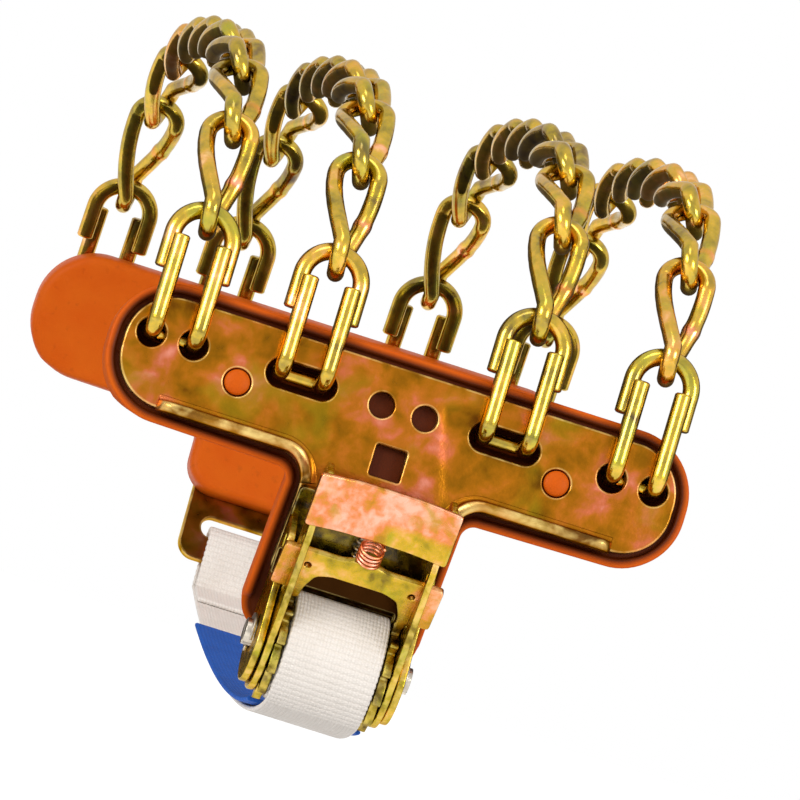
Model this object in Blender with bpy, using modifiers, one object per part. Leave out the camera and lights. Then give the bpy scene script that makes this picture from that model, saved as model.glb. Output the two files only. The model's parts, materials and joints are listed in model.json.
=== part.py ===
"""One tire snow chain unit, as it lies over the top of a tire, in metres.

X runs along the tread, Y along the wheel axis with -Y on the outer side, and Z is up.
The origin is the middle of the tread. The plates are drawn flat in (x, v, h), where v runs
up the plate and h stands off its back face, and are then folded round the side of the tire.
"""

import math

import bmesh
import bpy
import numpy as np
from mathutils import Matrix, Vector

# chain: wire, links and the shape of the path over the tread
WIRE = 0.0045
SLACK = 0.0008
PITCH = 0.0296
LINK_RADIUS = 0.0056
LINKS = 9
CHAIN_RISE = 0.0070
HEADINGS = (0.0, 2.0, 9.0, 28.0, 55.0)
CROSSING = 81.0
TWIST = 90.0
CHAIN_X = {"a": -0.0620, "b": -0.0274, "c": 0.0274, "d": 0.0620}
SLOTTED = ("b", "c")

# how the plates fold round the side of the tire
BAR_TILT = math.radians(8.0)
STEM_TILT = math.radians(20.0)
FOLD_RADIUS = 0.020

# pressed plates
PLATE = 0.0030
BAR_HALF = 0.0740
BAR_LOW = 0.0020
BAR_HIGH = 0.0320
BAR_CORNER = 0.0130
BAR_TAPER = 0.0006
STEM_HALF = 0.0200
STEM_END = -0.0310
INNER_STEM_END = -0.0400
STEM_CORNER = 0.0050
NECK_FILLET = 0.0070
LIP_FROM = 0.0210
LIP_TO = 0.0610
LIP_HEIGHT = 0.0055
LIP_THICK = 0.0026
LIP_CORNER = 0.0042
HOLE_RADIUS = 0.00375
HOLE_V = 0.0206
SIGHT_HOLE_X = 0.0058
SIGHT_HOLE_RADIUS = 0.0033
SQUARE_V = 0.0068
SQUARE_HALF = 0.0041
PLUG_X = 0.0430
PLUG_V = 0.0150
PLUG_RADIUS = 0.0033
STRAP_SLOT_V = -0.0300
STRAP_SLOT_HALF = 0.0150
STRAP_SLOT_WIDE = 0.0028

# soft pads behind the plates
PAD = 0.0065
PAD_GROW = 0.0036
PAD_RIM = 0.0014
PAD_RIM_HEIGHT = 0.0018
PAD_TAB_X = 0.0447
PAD_TAB_HALF = 0.0062
PAD_TAB_REACH = 0.0026
PAD_TAB_SLOPE = 0.0020
OUTER_PAD_END = -0.0430
INNER_PAD_END = -0.0180
POCKET_DEEP = 0.0053
POCKET_ROOM = 0.0012
PLUG_RISE = 0.0009
BARE_FOOT = 0.0090
OPEN_FOOT = 0.0200
OPEN_SIDE = 0.0034

# clear gap between neighbours, and how far a cutter runs past what it cuts
GAP = 0.0003
PAST = 0.0010

# end shackles: a front loop welded to a staple through the plate
STAPLE_X = 0.00565
STAPLE_V = 0.0212
STAPLE_H = PLATE + GAP + WIRE / 2
STAPLE_BACK_H = -GAP - WIRE / 2
STAPLE_BEND = 0.0034
STAPLE_CORNER = 0.0020
STAPLE_TIP_V = 0.0465
LOOP_X = 0.0078
LOOP_H = 0.0026
LOOP_LOW_V = 0.0375
LOOP_APEX_V = 0.0547

# ratchet, in the stem's own flat (x, v, h)
SPOOL_V = -0.0408
SPOOL_H = 0.0165
SPOOL_RADIUS = 0.0047
SPOOL_HALF = 0.0222
SPOOL_SLOT = 0.0010
SPOOL_SLOT_ANGLE = math.radians(130.0)
JOURNAL_RADIUS = 0.0035
WHEEL_FROM = 0.0130
WHEEL_TO = 0.0152
WHEEL_TIP = 0.0157
WHEEL_ROOT = 0.0125
TEETH = 12
RAMP = 26.0
TIP_WIDTH = 2.0
TOOTH_START = -17.8
HANDLE_FROM = 0.0156
HANDLE_TO = 0.0174
HANDLE_DISC = 0.0140
GRIP_LOW = -0.0026
GRIP_HIGH = 0.0118
GRIP_HALF = 0.0190
GRIP_FLAT = 0.0080
GRIP_TOP = 0.0303
GRIP_SIDE = 0.0253
SHEET = 0.0018
ARM_EDGE = ((0.0118, 0.0195), (0.0118, 0.0259), (-0.0026, 0.0259), (-0.0055, 0.0288), (-0.0265, 0.0303))
FRAME_FROM = 0.0178
FRAME_TO = 0.0198
FRAME_BASE = 0.0020
FRAME_DISC = 0.0125
FRAME_LOW = -0.0290
FRAME_HIGH = -0.0030
WALL_HEEL = 0.0080
WALL_TOE = 0.0040
WALL_EDGE = ((-0.0110, 0.0070), (-0.0130, 0.0155), (-0.0255, 0.0190))
SEAT_V = -0.0055
SEAT_HALF = 0.0050
SEAT_THICK = 0.0020
SEAT_HIGH = 0.0115
DRIVE_ANGLE = math.radians(17.0)
DRIVE_THICK = 0.0020
DRIVE_TIP = 0.0160
DRIVE_EAR = (0.0185, 0.0318)
DRIVE_TAIL = 0.0328
DRIVE_BACK = 0.0318
DRIVE_TONGUE = 0.0030
DRIVE_EAR_X = 0.0212
SCALLOP = ((0.0070, 0.0256), (0.0108, 0.0243), (0.0126, 0.0200))
LOCK_ANGLE = math.radians(-12.0)
LOCK_THICK = 0.0022
LOCK_HALF = 0.0208
LOCK_REAR = 0.0235
LOCK_LIFT = 0.0004
LOCK_EAR = 0.0164
LOCK_WAIST = 0.0157
LOCK_TRAVEL = 0.0032
LOCK_SPRING_END = 0.0340
LOCK_COILS = 5
DRIVE_SPRING_END = 0.0393
DRIVE_COILS = 4
DRIVE_TRAVEL_OUT = 0.0030
DRIVE_TRAVEL_IN = 0.0018
SPRING_WIRE = 0.0004
LOCK_SPRING_RADIUS = 0.0021
DRIVE_SPRING_RADIUS = 0.0030
SPRING_POINTS = 9

# strap
STRAP_HALF = 0.0125
STRAP = 0.0013
ROLL_START = 0.0062
ROLL_TURNS = 4.7
ROLL_STEP = 0.0018
ROLL_END = math.radians(235.0)
RUN_LEAVES = math.radians(70.0)
RUN_PULL = 0.0300
RUN_SAG = (-0.0850, -0.0180)
RUN_EASE = 0.0450
RUN_REACH = 0.0160
STRAP_OFF = 0.0022
SLEEVE_HALF = 0.0153
SLEEVE = 0.0012
SLEEVE_GAP = 0.0004
SLEEVE_SHORT = 5

ZINC = (0.60, 0.42, 0.12)
ORANGE = (0.85, 0.19, 0.01)
STEEL = (0.45, 0.45, 0.43)
WHITE = (0.80, 0.76, 0.70)
BLUE = (0.03, 0.12, 0.50)


def clear_scene():
    """Take every object out of the scene and make the two collections."""
    for obj in list(bpy.data.objects):
        bpy.data.objects.remove(obj)
    for name in ("tire_snow_chain_unit", "cutters"):
        bpy.context.scene.collection.children.link(bpy.data.collections.new(name))


def finish_as(obj, colour, roughness, metallic):
    """Give a finished piece its own plain material."""
    material = bpy.data.materials.new(obj.name)
    material.use_nodes = True
    shader = material.node_tree.nodes["Principled BSDF"]
    shader.inputs["Base Color"].default_value = (*colour, 1.0)
    shader.inputs["Roughness"].default_value = roughness
    shader.inputs["Metallic"].default_value = metallic
    obj.data.materials.clear()
    obj.data.materials.append(material)


def add_object(name, mesh, cutter=False):
    """Link a mesh as an object, among the parts or among the cutters."""
    obj = bpy.data.objects.new(name, mesh)
    collection = "cutters" if cutter else "tire_snow_chain_unit"
    bpy.data.collections[collection].objects.link(obj)
    if cutter:
        obj.hide_render = True
        obj.display_type = "WIRE"
    return obj


def mesh_from(name, obj):
    """The evaluated mesh of an object, welded, with the object itself taken away."""
    depsgraph = bpy.context.evaluated_depsgraph_get()
    mesh = bpy.data.meshes.new_from_object(obj.evaluated_get(depsgraph))
    mesh.transform(obj.matrix_world)
    mesh.name = name
    bpy.data.objects.remove(obj)
    return weld(mesh)


def weld(mesh):
    """Merge doubled points and turn every face outward."""
    work = bmesh.new()
    work.from_mesh(mesh)
    bmesh.ops.remove_doubles(work, verts=work.verts, dist=1e-6)
    bmesh.ops.dissolve_degenerate(work, edges=work.edges, dist=1e-7)
    bmesh.ops.recalc_face_normals(work, faces=work.faces)
    work.to_mesh(mesh)
    work.free()
    return mesh


def tube(name, points, radius, cyclic=False, resolution=1):
    """A round wire along the given points."""
    curve = bpy.data.curves.new(name, "CURVE")
    curve.dimensions = "3D"
    curve.bevel_depth = radius
    curve.bevel_resolution = resolution
    curve.use_fill_caps = not cyclic
    spline = curve.splines.new("POLY")
    spline.points.add(len(points) - 1)
    for place, point in zip(spline.points, points):
        place.co = (*point, 1.0)
    spline.use_cyclic_u = cyclic
    return mesh_from(name, add_object(name, curve))


def slab(name, loops, low, high):
    """A flat outline with holes, the first loop being the outside, drawn out from low to high."""
    curve = bpy.data.curves.new(name, "CURVE")
    curve.dimensions = "2D"
    curve.fill_mode = "BOTH"
    curve.extrude = (high - low) / 2
    for loop in loops:
        spline = curve.splines.new("POLY")
        spline.points.add(len(loop) - 1)
        for place, point in zip(spline.points, loop):
            place.co = (point[0], point[1], 0.0, 1.0)
        spline.use_cyclic_u = True
    obj = add_object(name, curve)
    obj.location.z = (low + high) / 2
    bpy.context.view_layer.update()
    return mesh_from(name, obj)


def box(name, low, high):
    """A plain block between two corners."""
    corners = ((low[0], low[1]), (high[0], low[1]), (high[0], high[1]), (low[0], high[1]))
    return slab(name, [corners], low[2], high[2])


def ribbon(name, points, half, thick):
    """A flat band of even thickness along points (v, h), as wide as twice half in x."""
    curve = bpy.data.curves.new(name, "CURVE")
    curve.dimensions = "2D"
    curve.fill_mode = "NONE"
    curve.extrude = half
    spline = curve.splines.new("POLY")
    spline.points.add(len(points) - 1)
    for place, point in zip(spline.points, points):
        place.co = (point[0], point[1], 0.0, 1.0)
    obj = add_object(name, curve)
    sheet = add_object(name, mesh_from(name, obj))
    solid = sheet.modifiers.new("thickness", "SOLIDIFY")
    solid.thickness = thick
    solid.offset = 0.0
    solid.use_even_offset = True
    mesh = mesh_from(name, sheet)
    mesh.transform(SIDEWAYS)
    return mesh


def combine(obj, mesh, operation):
    """Join a mesh to an object, or cut it away."""
    cutter = add_object(obj.name + "_" + operation.lower(), mesh, cutter=True)
    change = obj.modifiers.new(operation.lower(), "BOOLEAN")
    change.operation = operation
    change.solver = "EXACT"
    change.object = cutter
    depsgraph = bpy.context.evaluated_depsgraph_get()
    changed = bpy.data.meshes.new_from_object(obj.evaluated_get(depsgraph))
    obj.modifiers.remove(change)
    obj.data = weld(changed)
    bpy.data.objects.remove(cutter)


def arc(centre, radius, start, stop, steps):
    """Points on part of a circle, angles in degrees, both ends included."""
    turns = np.radians(np.linspace(start, stop, steps + 1))
    return [(centre[0] + radius * math.cos(t), centre[1] + radius * math.sin(t)) for t in turns]


def circle(centre, radius, steps=12):
    """A closed ring of points."""
    return arc(centre, radius, 0.0, 360.0, steps)[:-1]


def obround(centre, half_long, half_wide, steps=5):
    """A slot with round ends, long in x."""
    reach = half_long - half_wide
    right = arc((centre[0] + reach, centre[1]), half_wide, -90.0, 90.0, steps)
    left = arc((centre[0] - reach, centre[1]), half_wide, 90.0, 270.0, steps)
    return right + left


def tee(grow, stem_end, widen=0.0):
    """Outline of the T, grown outward all round, counter-clockwise from the stem's foot."""
    half, low, high = BAR_HALF + grow, BAR_LOW - grow, BAR_HIGH + grow
    stem, foot = STEM_HALF + grow + widen, stem_end - grow
    corner, small, neck = BAR_CORNER + grow, STEM_CORNER + grow, NECK_FILLET - grow
    right = arc((stem - small, foot + small), small, -90.0, 0.0, 3)
    right += arc((stem + neck, low - neck), neck, 180.0, 90.0, 4)
    right += arc((half - corner, low + corner + BAR_TAPER), corner, -90.0, 0.0, 4)
    right += arc((half - corner, high - corner - BAR_TAPER), corner, 0.0, 90.0, 4)
    return right + [(-x, v) for x, v in reversed(right)]


def with_tabs(outline):
    """The pad's outline with two short tabs on its chain-side edge."""
    edge = BAR_HIGH + PAD_GROW
    tabs = []
    for side in (1, -1):
        middle = side * PAD_TAB_X
        top = PAD_TAB_HALF - PAD_TAB_SLOPE
        ends = (PAD_TAB_HALF, top, -top, -PAD_TAB_HALF)
        rises = (0.0, PAD_TAB_REACH, PAD_TAB_REACH, 0.0)
        tabs += [(middle + e, edge + r) for e, r in zip(ends, rises)]
    split = len(outline) // 2
    return outline[:split] + tabs + outline[split:]


def fold(v, h, side):
    """Where a flat plate point (v, h) lies in (y, z) once folded, on the outer or inner side."""
    turn = min(max(v / FOLD_RADIUS, -STEM_TILT), BAR_TILT)
    along = v - FOLD_RADIUS * turn
    y = FOLD_Y - (FOLD_RADIUS + h) * math.cos(turn) + along * math.sin(turn)
    z = FOLD_Z + (FOLD_RADIUS + h) * math.sin(turn) + along * math.cos(turn)
    return (y if side == "outer" else -y), z


def fold_mesh(mesh, side):
    """Fold a flat plate or pad round the tire, creasing it along five lines."""
    work = bmesh.new()
    work.from_mesh(mesh)
    for turn in np.linspace(-STEM_TILT, BAR_TILT, 5):
        everything = work.verts[:] + work.edges[:] + work.faces[:]
        place = Vector((0.0, turn * FOLD_RADIUS, 0.0))
        bmesh.ops.bisect_plane(work, geom=everything, plane_co=place, plane_no=(0.0, 1.0, 0.0))
    for vertex in work.verts:
        y, z = fold(vertex.co.y, vertex.co.z, side)
        vertex.co = (vertex.co.x, y, z)
    work.to_mesh(mesh)
    work.free()
    return weld(mesh)


def chain_joints():
    """The hinge points (y, z) between neighbours, from the outer shackle to the inner one.

    Each lies on the middle of the wire that is further from the chain's middle, so the nearer
    link turns round it.
    """
    half = [((PITCH - EYE) / 2, CHAIN_RISE)]
    for heading in HEADINGS[1:]:
        slope = math.radians(heading)
        y, z = half[-1]
        half.append((y + PITCH * math.cos(slope), z - PITCH * math.sin(slope)))
    return [(-y, z) for y, z in reversed(half)] + half


def link_points(index, x, start, stop):
    """A twisted oval of wire between two hinge points; its ends turn by TWIST from near to far."""
    centre = Vector((x, (start[0] + stop[0]) / 2, (start[1] + stop[1]) / 2))
    along = Vector((0.0, stop[0] - start[0], stop[1] - start[1])).normalized()
    past_middle = (index > LINKS // 2 + 1) - (index < LINKS // 2 + 1)
    centre += along * EYE / 2 * past_middle
    across = Vector((1.0, 0.0, 0.0))
    off = across.cross(along)
    straight = PITCH + EYE - 2 * LINK_RADIUS
    flat = arc((straight / 2, 0.0), LINK_RADIUS, -90.0, 90.0, 4)
    flat += [(straight / 6, LINK_RADIUS), (-straight / 6, LINK_RADIUS)]
    flat += arc((-straight / 2, 0.0), LINK_RADIUS, 90.0, 270.0, 4)
    flat += [(-straight / 6, -LINK_RADIUS), (straight / 6, -LINK_RADIUS)]
    middle = (TWIST - CROSSING) * index - TWIST / 2
    points = []
    for u, w in flat:
        share = min(max(u / straight, -0.5), 0.5)
        turn = math.radians(middle + TWIST * share)
        points.append(centre + along * u + (across * math.cos(turn) + off * math.sin(turn)) * w)
    return points


def shackle_mesh(name, x, side):
    """A round loop lapped and welded onto a staple that goes through the plate and back."""
    def place(px, v, h):
        y, z = fold(v, h, side)
        return x + px, y, z

    bend = (STAPLE_V + STAPLE_BEND, STAPLE_H - STAPLE_BEND)
    leg = [(STAPLE_X, STAPLE_TIP_V, STAPLE_H)]
    leg += [(STAPLE_X, v, h) for v, h in arc(bend, STAPLE_BEND, 90.0, 180.0, 3)]
    turn = (STAPLE_X - STAPLE_CORNER, STAPLE_BACK_H + STAPLE_CORNER)
    leg += [(px, STAPLE_V, h) for px, h in arc(turn, STAPLE_CORNER, 0.0, -90.0, 3)]
    staple = leg + [(-px, v, h) for px, v, h in reversed(leg)]
    loop = [(LOOP_X, LOOP_LOW_V, LOOP_H)]
    top = arc((0.0, LOOP_APEX_V - LOOP_X), LOOP_X, 0.0, 180.0, 8)
    loop += [(px, v, LOOP_H) for px, v in top]
    loop += [(-LOOP_X, LOOP_LOW_V, LOOP_H)]
    obj = add_object(name, tube(name, [place(*p) for p in staple], WIRE / 2))
    combine(obj, tube(name, [place(*p) for p in loop], WIRE / 2), "UNION")
    return obj


def hinge_at(obj, x, y, z):
    """Move a piece's origin onto its hinge, leaving its surface where it is."""
    obj.data.transform(Matrix.Translation((-x, -y, -z)))
    obj.location = (x, y, z)


def build_chains(joints):
    """Four parallel chains: an outer shackle, the links and an inner shackle each."""
    outer_hinge = fold(STAPLE_V, STAPLE_BACK_H, "outer")
    for letter, x in CHAIN_X.items():
        outer = shackle_mesh("outer_shackle_" + letter, x, "outer")
        hinge_at(outer, x, *outer_hinge)
        finish_as(outer, ZINC, 0.3, 1.0)
        for index in range(1, LINKS + 1):
            start, stop = joints[index - 1], joints[index]
            name = f"link_{letter}{index}"
            link = add_object(name, tube(name, link_points(index, x, start, stop), WIRE / 2, True))
            hinge_at(link, x, *start)
            finish_as(link, ZINC, 0.3, 1.0)
        inner = shackle_mesh("inner_shackle_" + letter, x, "inner")
        hinge_at(inner, x, *joints[-1])
        finish_as(inner, ZINC, 0.3, 1.0)


def plate_loops(stem_end):
    """Outline and holes shared by both pressed plates."""
    loops = [tee(0.0, stem_end)]
    for letter, x in CHAIN_X.items():
        if letter in SLOTTED:
            loops.append(obround((x, HOLE_V), STAPLE_X + HOLE_RADIUS, HOLE_RADIUS))
        else:
            loops.append(circle((x - STAPLE_X, HOLE_V), HOLE_RADIUS))
            loops.append(circle((x + STAPLE_X, HOLE_V), HOLE_RADIUS))
    for side in (-1, 1):
        loops.append(circle((side * PLUG_X, PLUG_V), PLUG_RADIUS + GAP))
    return loops


def turn_up_lips(obj, side):
    """Add the turned-up stiffening lips, round at both ends, along the bar's lower edge."""
    high = PLATE + LIP_HEIGHT - LIP_CORNER
    edge = [(LIP_FROM, PLATE / 2), (LIP_TO, PLATE / 2)]
    edge += arc((LIP_TO - LIP_CORNER, high), LIP_CORNER, 0.0, 90.0, 4)
    edge += arc((LIP_FROM + LIP_CORNER, high), LIP_CORNER, 90.0, 180.0, 4)
    for sign in (-1, 1):
        lip = slab(obj.name + "_lip", [[(sign * x, h) for x, h in edge]], BAR_LOW, BAR_LOW + LIP_THICK)
        lip.transform(UPRIGHT)
        combine(obj, fold_mesh(weld(lip), side), "UNION")


def build_plates():
    """Outer and inner T-plates, each with its soft pad."""
    sight = [circle((s * SIGHT_HOLE_X, HOLE_V), SIGHT_HOLE_RADIUS) for s in (-1, 1)]
    q = SQUARE_HALF
    square = [(-q, SQUARE_V - q), (q, SQUARE_V - q), (q, SQUARE_V + q), (-q, SQUARE_V + q)]
    loops = plate_loops(STEM_END) + sight + [square]
    outer = add_object("outer_plate", slab("outer_plate", loops, 0.0, PLATE))
    fold_mesh(outer.data, "outer")
    turn_up_lips(outer, "outer")
    finish_as(outer, ZINC, 0.4, 1.0)
    strap_slot = obround((0.0, STRAP_SLOT_V), STRAP_SLOT_HALF, STRAP_SLOT_WIDE)
    loops = plate_loops(INNER_STEM_END) + [strap_slot]
    inner = add_object("inner_plate", slab("inner_plate", loops, 0.0, PLATE))
    fold_mesh(inner.data, "inner")
    turn_up_lips(inner, "inner")
    hinge_at(inner, CHAIN_X["b"], *fold(STAPLE_V, STAPLE_BACK_H, "inner"))
    finish_as(inner, ZINC, 0.4, 1.0)
    build_pad("outer_pad", OUTER_PAD_END, "outer")
    build_pad("inner_pad", INNER_PAD_END, "inner")


def build_pad(name, stem_end, side):
    """A soft tray under a plate: a low rim, bare at the foot, staple pockets and two plugs."""
    pad = add_object(name, slab(name, [with_tabs(tee(PAD_GROW, stem_end))], -PAD, PAD_RIM_HEIGHT))
    tray_edge = tee(PAD_GROW - PAD_RIM, stem_end)
    if side == "inner":
        tray_edge = tee(PAD_GROW - PAD_RIM, stem_end - OPEN_FOOT, OPEN_SIDE)
    tray = slab(name, [tray_edge], -GAP, PAD_RIM_HEIGHT + PAST)
    combine(pad, tray, "DIFFERENCE")
    if side == "outer":
        foot = stem_end - PAD_GROW
        low, high = (-BAR_HALF, foot - PAST, -GAP), (BAR_HALF, foot + BARE_FOOT, PAD_RIM_HEIGHT + PAST)
        combine(pad, box(name, low, high), "DIFFERENCE")
    for x in CHAIN_X.values():
        reach = (STAPLE_X + WIRE / 2 + POCKET_ROOM, WIRE / 2 + POCKET_ROOM)
        low = (x - reach[0], STAPLE_V - reach[1], -POCKET_DEEP)
        high = (x + reach[0], STAPLE_V + reach[1], PAST)
        combine(pad, box(name, low, high), "DIFFERENCE")
    for sign in (-1, 1):
        plug = slab(name, [circle((sign * PLUG_X, PLUG_V), PLUG_RADIUS)], -PAD / 2, PLATE + PLUG_RISE)
        combine(pad, plug, "UNION")
    fold_mesh(pad.data, side)
    finish_as(pad, ORANGE, 0.5, 0.0)


def on_stem(mesh):
    """Set a ratchet piece, drawn flat in (x, v, h), onto the tilted stem."""
    mesh.transform(STEM)
    return weld(mesh)


def spun(angle, reach, off=0.0):
    """A point (v, h) at a distance from the spool axis along an angle, and off to its side."""
    v = SPOOL_V + reach * math.cos(angle) - off * math.sin(angle)
    h = SPOOL_H + reach * math.sin(angle) + off * math.cos(angle)
    return v, h


def across_x(name, profile, low, high):
    """A profile in (v, h) drawn out along x."""
    mesh = slab(name, [profile], low, high)
    mesh.transform(SIDEWAYS)
    return mesh


def beside_spool(angle):
    """Turns (x, distance from the spool axis, height) to lie along an angle from the stem."""
    return Matrix.Translation((0.0, SPOOL_V, SPOOL_H)) @ Matrix.Rotation(angle, 4, "X")


def block(angle, near, far, low, high):
    """Four corners (v, h) of a block along an angle from the spool axis, for a slot or a cut."""
    return [spun(angle, near, low), spun(angle, far, low), spun(angle, far, high), spun(angle, near, high)]


def past(ends):
    """A cutter's two ends in x, past the faces that it cuts."""
    return ends[0] - PAST, ends[1] + PAST


def build_frame():
    """A low channel riveted to the stem: a base, two side walls and the lock spring's seat."""
    floor = PLATE + GAP
    floor_top = floor + FRAME_BASE
    low, high = (-FRAME_TO, FRAME_LOW, floor), (FRAME_TO, FRAME_HIGH, floor_top)
    frame = add_object("ratchet_frame", box("ratchet_frame", low, high))
    wall = arc((SPOOL_V, SPOOL_H), FRAME_DISC, 75.0, 255.0, 8)
    wall += [(SPOOL_V + WALL_HEEL, floor + PAST), (FRAME_LOW + WALL_TOE, floor)]
    wall += [(WALL_EDGE[0][0], floor), *WALL_EDGE]
    bore = circle((SPOOL_V, SPOOL_H), JOURNAL_RADIUS + GAP)
    side = LOCK_THICK / 2 + GAP
    slot = block(LOCK_ANGLE, WHEEL_TIP, LOCK_REAR + LOCK_TRAVEL + GAP, -side, side)
    for sign in (-1, 1):
        ends = sorted((sign * FRAME_FROM, sign * FRAME_TO))
        combine(frame, across_x("wall", wall, *ends), "UNION")
        combine(frame, across_x("bore", bore, *past(ends)), "DIFFERENCE")
        combine(frame, across_x("slot", slot, *past(ends)), "DIFFERENCE")
    low = (-SEAT_HALF, SEAT_V - SEAT_THICK / 2, floor_top - FRAME_BASE / 2)
    high = (SEAT_HALF, SEAT_V + SEAT_THICK / 2, SEAT_HIGH)
    combine(frame, box("seat", low, high), "UNION")
    on_stem(frame.data)
    finish_as(frame, ZINC, 0.35, 1.0)


def build_handle():
    """Two side arms on the spool and a cross grip of three flats, with slots for the drive pawl."""
    top = [(-GRIP_HALF, GRIP_SIDE), (-GRIP_FLAT, GRIP_TOP), (GRIP_FLAT, GRIP_TOP), (GRIP_HALF, GRIP_SIDE)]
    web = top + [(x, h - SHEET) for x, h in reversed(top)]
    grip = slab("ratchet_handle", [web], GRIP_LOW, GRIP_HIGH)
    grip.transform(UPRIGHT)
    handle = add_object("ratchet_handle", weld(grip))
    arm = arc((SPOOL_V, SPOOL_H), HANDLE_DISC, 80.0, 356.0, 14) + list(ARM_EDGE)
    bore = circle((SPOOL_V, SPOOL_H), SPOOL_RADIUS + GAP)
    side = DRIVE_THICK / 2 + GAP
    near, far = DRIVE_EAR[0] - DRIVE_TRAVEL_IN - GAP, DRIVE_EAR[1] + DRIVE_TRAVEL_OUT + GAP
    slot = block(DRIVE_ANGLE, near, far, -side, side)
    for sign in (-1, 1):
        ends = sorted((sign * HANDLE_FROM, sign * HANDLE_TO))
        combine(handle, across_x("arm", arm, *ends), "UNION")
        combine(handle, across_x("bore", bore, *past(ends)), "DIFFERENCE")
        combine(handle, across_x("slot", slot, *past(ends)), "DIFFERENCE")
    on_stem(handle.data)
    hinge_at(handle, 0.0, *SPOOL_AXIS)
    finish_as(handle, ZINC, 0.35, 1.0)


def build_drive_pawl():
    """The butterfly plate that the handle pushes the wheels with, its ears in the handle's slots."""
    ear_low, ear_high = DRIVE_EAR
    right = [*SCALLOP, (WHEEL_FROM, DRIVE_TIP), (WHEEL_TO, DRIVE_TIP), (WHEEL_TO, ear_low)]
    right += [(DRIVE_EAR_X, ear_low), (DRIVE_EAR_X, ear_high), (WHEEL_TO, ear_high)]
    right += [(WHEEL_FROM, DRIVE_BACK), (DRIVE_TONGUE * 2, DRIVE_BACK)]
    right += [(DRIVE_TONGUE * 1.1, (DRIVE_BACK + DRIVE_TAIL) / 2), (DRIVE_TONGUE, DRIVE_TAIL)]
    outline = right + [(-x, r) for x, r in reversed(right)]
    flat = slab("drive_pawl", [outline], -DRIVE_THICK / 2, DRIVE_THICK / 2)
    flat.transform(beside_spool(DRIVE_ANGLE))
    drive = add_object("drive_pawl", on_stem(flat))
    hinge_at(drive, 0.0, *SPOOL_AXIS)
    finish_as(drive, ZINC, 0.35, 1.0)
    ends = (DRIVE_TAIL + GAP, DRIVE_SPRING_END)
    build_spring("drive_pawl_spring", DRIVE_ANGLE, DRIVE_SPRING_RADIUS, *ends, DRIVE_COILS)


def build_lock_pawl():
    """The bar across the frame that drops between the wheels' teeth, its tips cut to their ramp."""
    half = LOCK_THICK / 2
    rise = (WHEEL_TIP - WHEEL_ROOT) / math.radians(RAMP)
    climbed = LOCK_ANGLE - half / WHEEL_ROOT - math.radians(TOOTH_START)
    tip = WHEEL_ROOT + rise * max(climbed, 0.0) + LOCK_LIFT
    slope = rise * LOCK_THICK / WHEEL_ROOT
    profile = [spun(LOCK_ANGLE, tip, -half), spun(LOCK_ANGLE, LOCK_REAR, -half)]
    profile += [spun(LOCK_ANGLE, LOCK_REAR, half), spun(LOCK_ANGLE, tip + slope + LOCK_LIFT / 2, half)]
    lock = add_object("lock_pawl", across_x("lock_pawl", profile, -LOCK_HALF, LOCK_HALF))
    shoulder = block(LOCK_ANGLE, 0.0, LOCK_EAR, -LOCK_THICK, LOCK_THICK)
    for sign in (-1, 1):
        ends = sorted((sign * (WHEEL_TO + GAP), sign * (LOCK_HALF + PAST)))
        combine(lock, across_x("shoulder", shoulder, *ends), "DIFFERENCE")
    waist = block(LOCK_ANGLE, 0.0, LOCK_WAIST, -LOCK_THICK, LOCK_THICK)
    combine(lock, across_x("waist", waist, -WHEEL_FROM, WHEEL_FROM), "DIFFERENCE")
    on_stem(lock.data)
    hinge_at(lock, 0.0, *SPOOL_AXIS)
    finish_as(lock, ZINC, 0.35, 1.0)
    ends = (LOCK_REAR + GAP, LOCK_SPRING_END)
    build_spring("lock_pawl_spring", LOCK_ANGLE, LOCK_SPRING_RADIUS, *ends, LOCK_COILS)


def build_spring(name, angle, radius, start, stop, coils):
    """A wire coil along an angle from the spool axis, with straight ends."""
    lead = 2 * SPRING_WIRE
    turns = np.linspace(0.0, 2 * math.pi * coils, coils * SPRING_POINTS + 1)
    climb = (stop - start - 2 * SPRING_WIRE) / turns[-1]
    reach = start + SPRING_WIRE + climb * turns
    flat = [(radius * math.cos(t), r, radius * math.sin(t)) for t, r in zip(turns, reach)]
    first = (flat[0][0], flat[0][1], flat[0][2] - lead)
    last = (flat[-1][0], flat[-1][1], flat[-1][2] + lead)
    points = [first] + flat + [last]
    report_gap(name, np.array(points), SPRING_WIRE, SPRING_POINTS // 2)
    mesh = tube(name, points, SPRING_WIRE)
    mesh.transform(beside_spool(angle))
    spring = add_object(name, on_stem(mesh))
    finish_as(spring, STEEL, 0.3, 1.0)


def report_gap(name, points, radius, apart):
    """Print the least clear gap between parts of one wire that are further apart along it."""
    cuts = 5
    fine = np.concatenate([np.linspace(a, b, cuts + 1)[:-1] for a, b in zip(points[:-1], points[1:])])
    steps = apart * cuts
    away = np.linalg.norm(fine[:, None] - fine[None], axis=2)
    order = np.arange(len(fine))
    away[np.abs(order[:, None] - order[None]) < steps] = 1.0
    print(f"{name}: least gap to itself {1000 * (away.min() - 2 * radius):.2f} mm")


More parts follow.
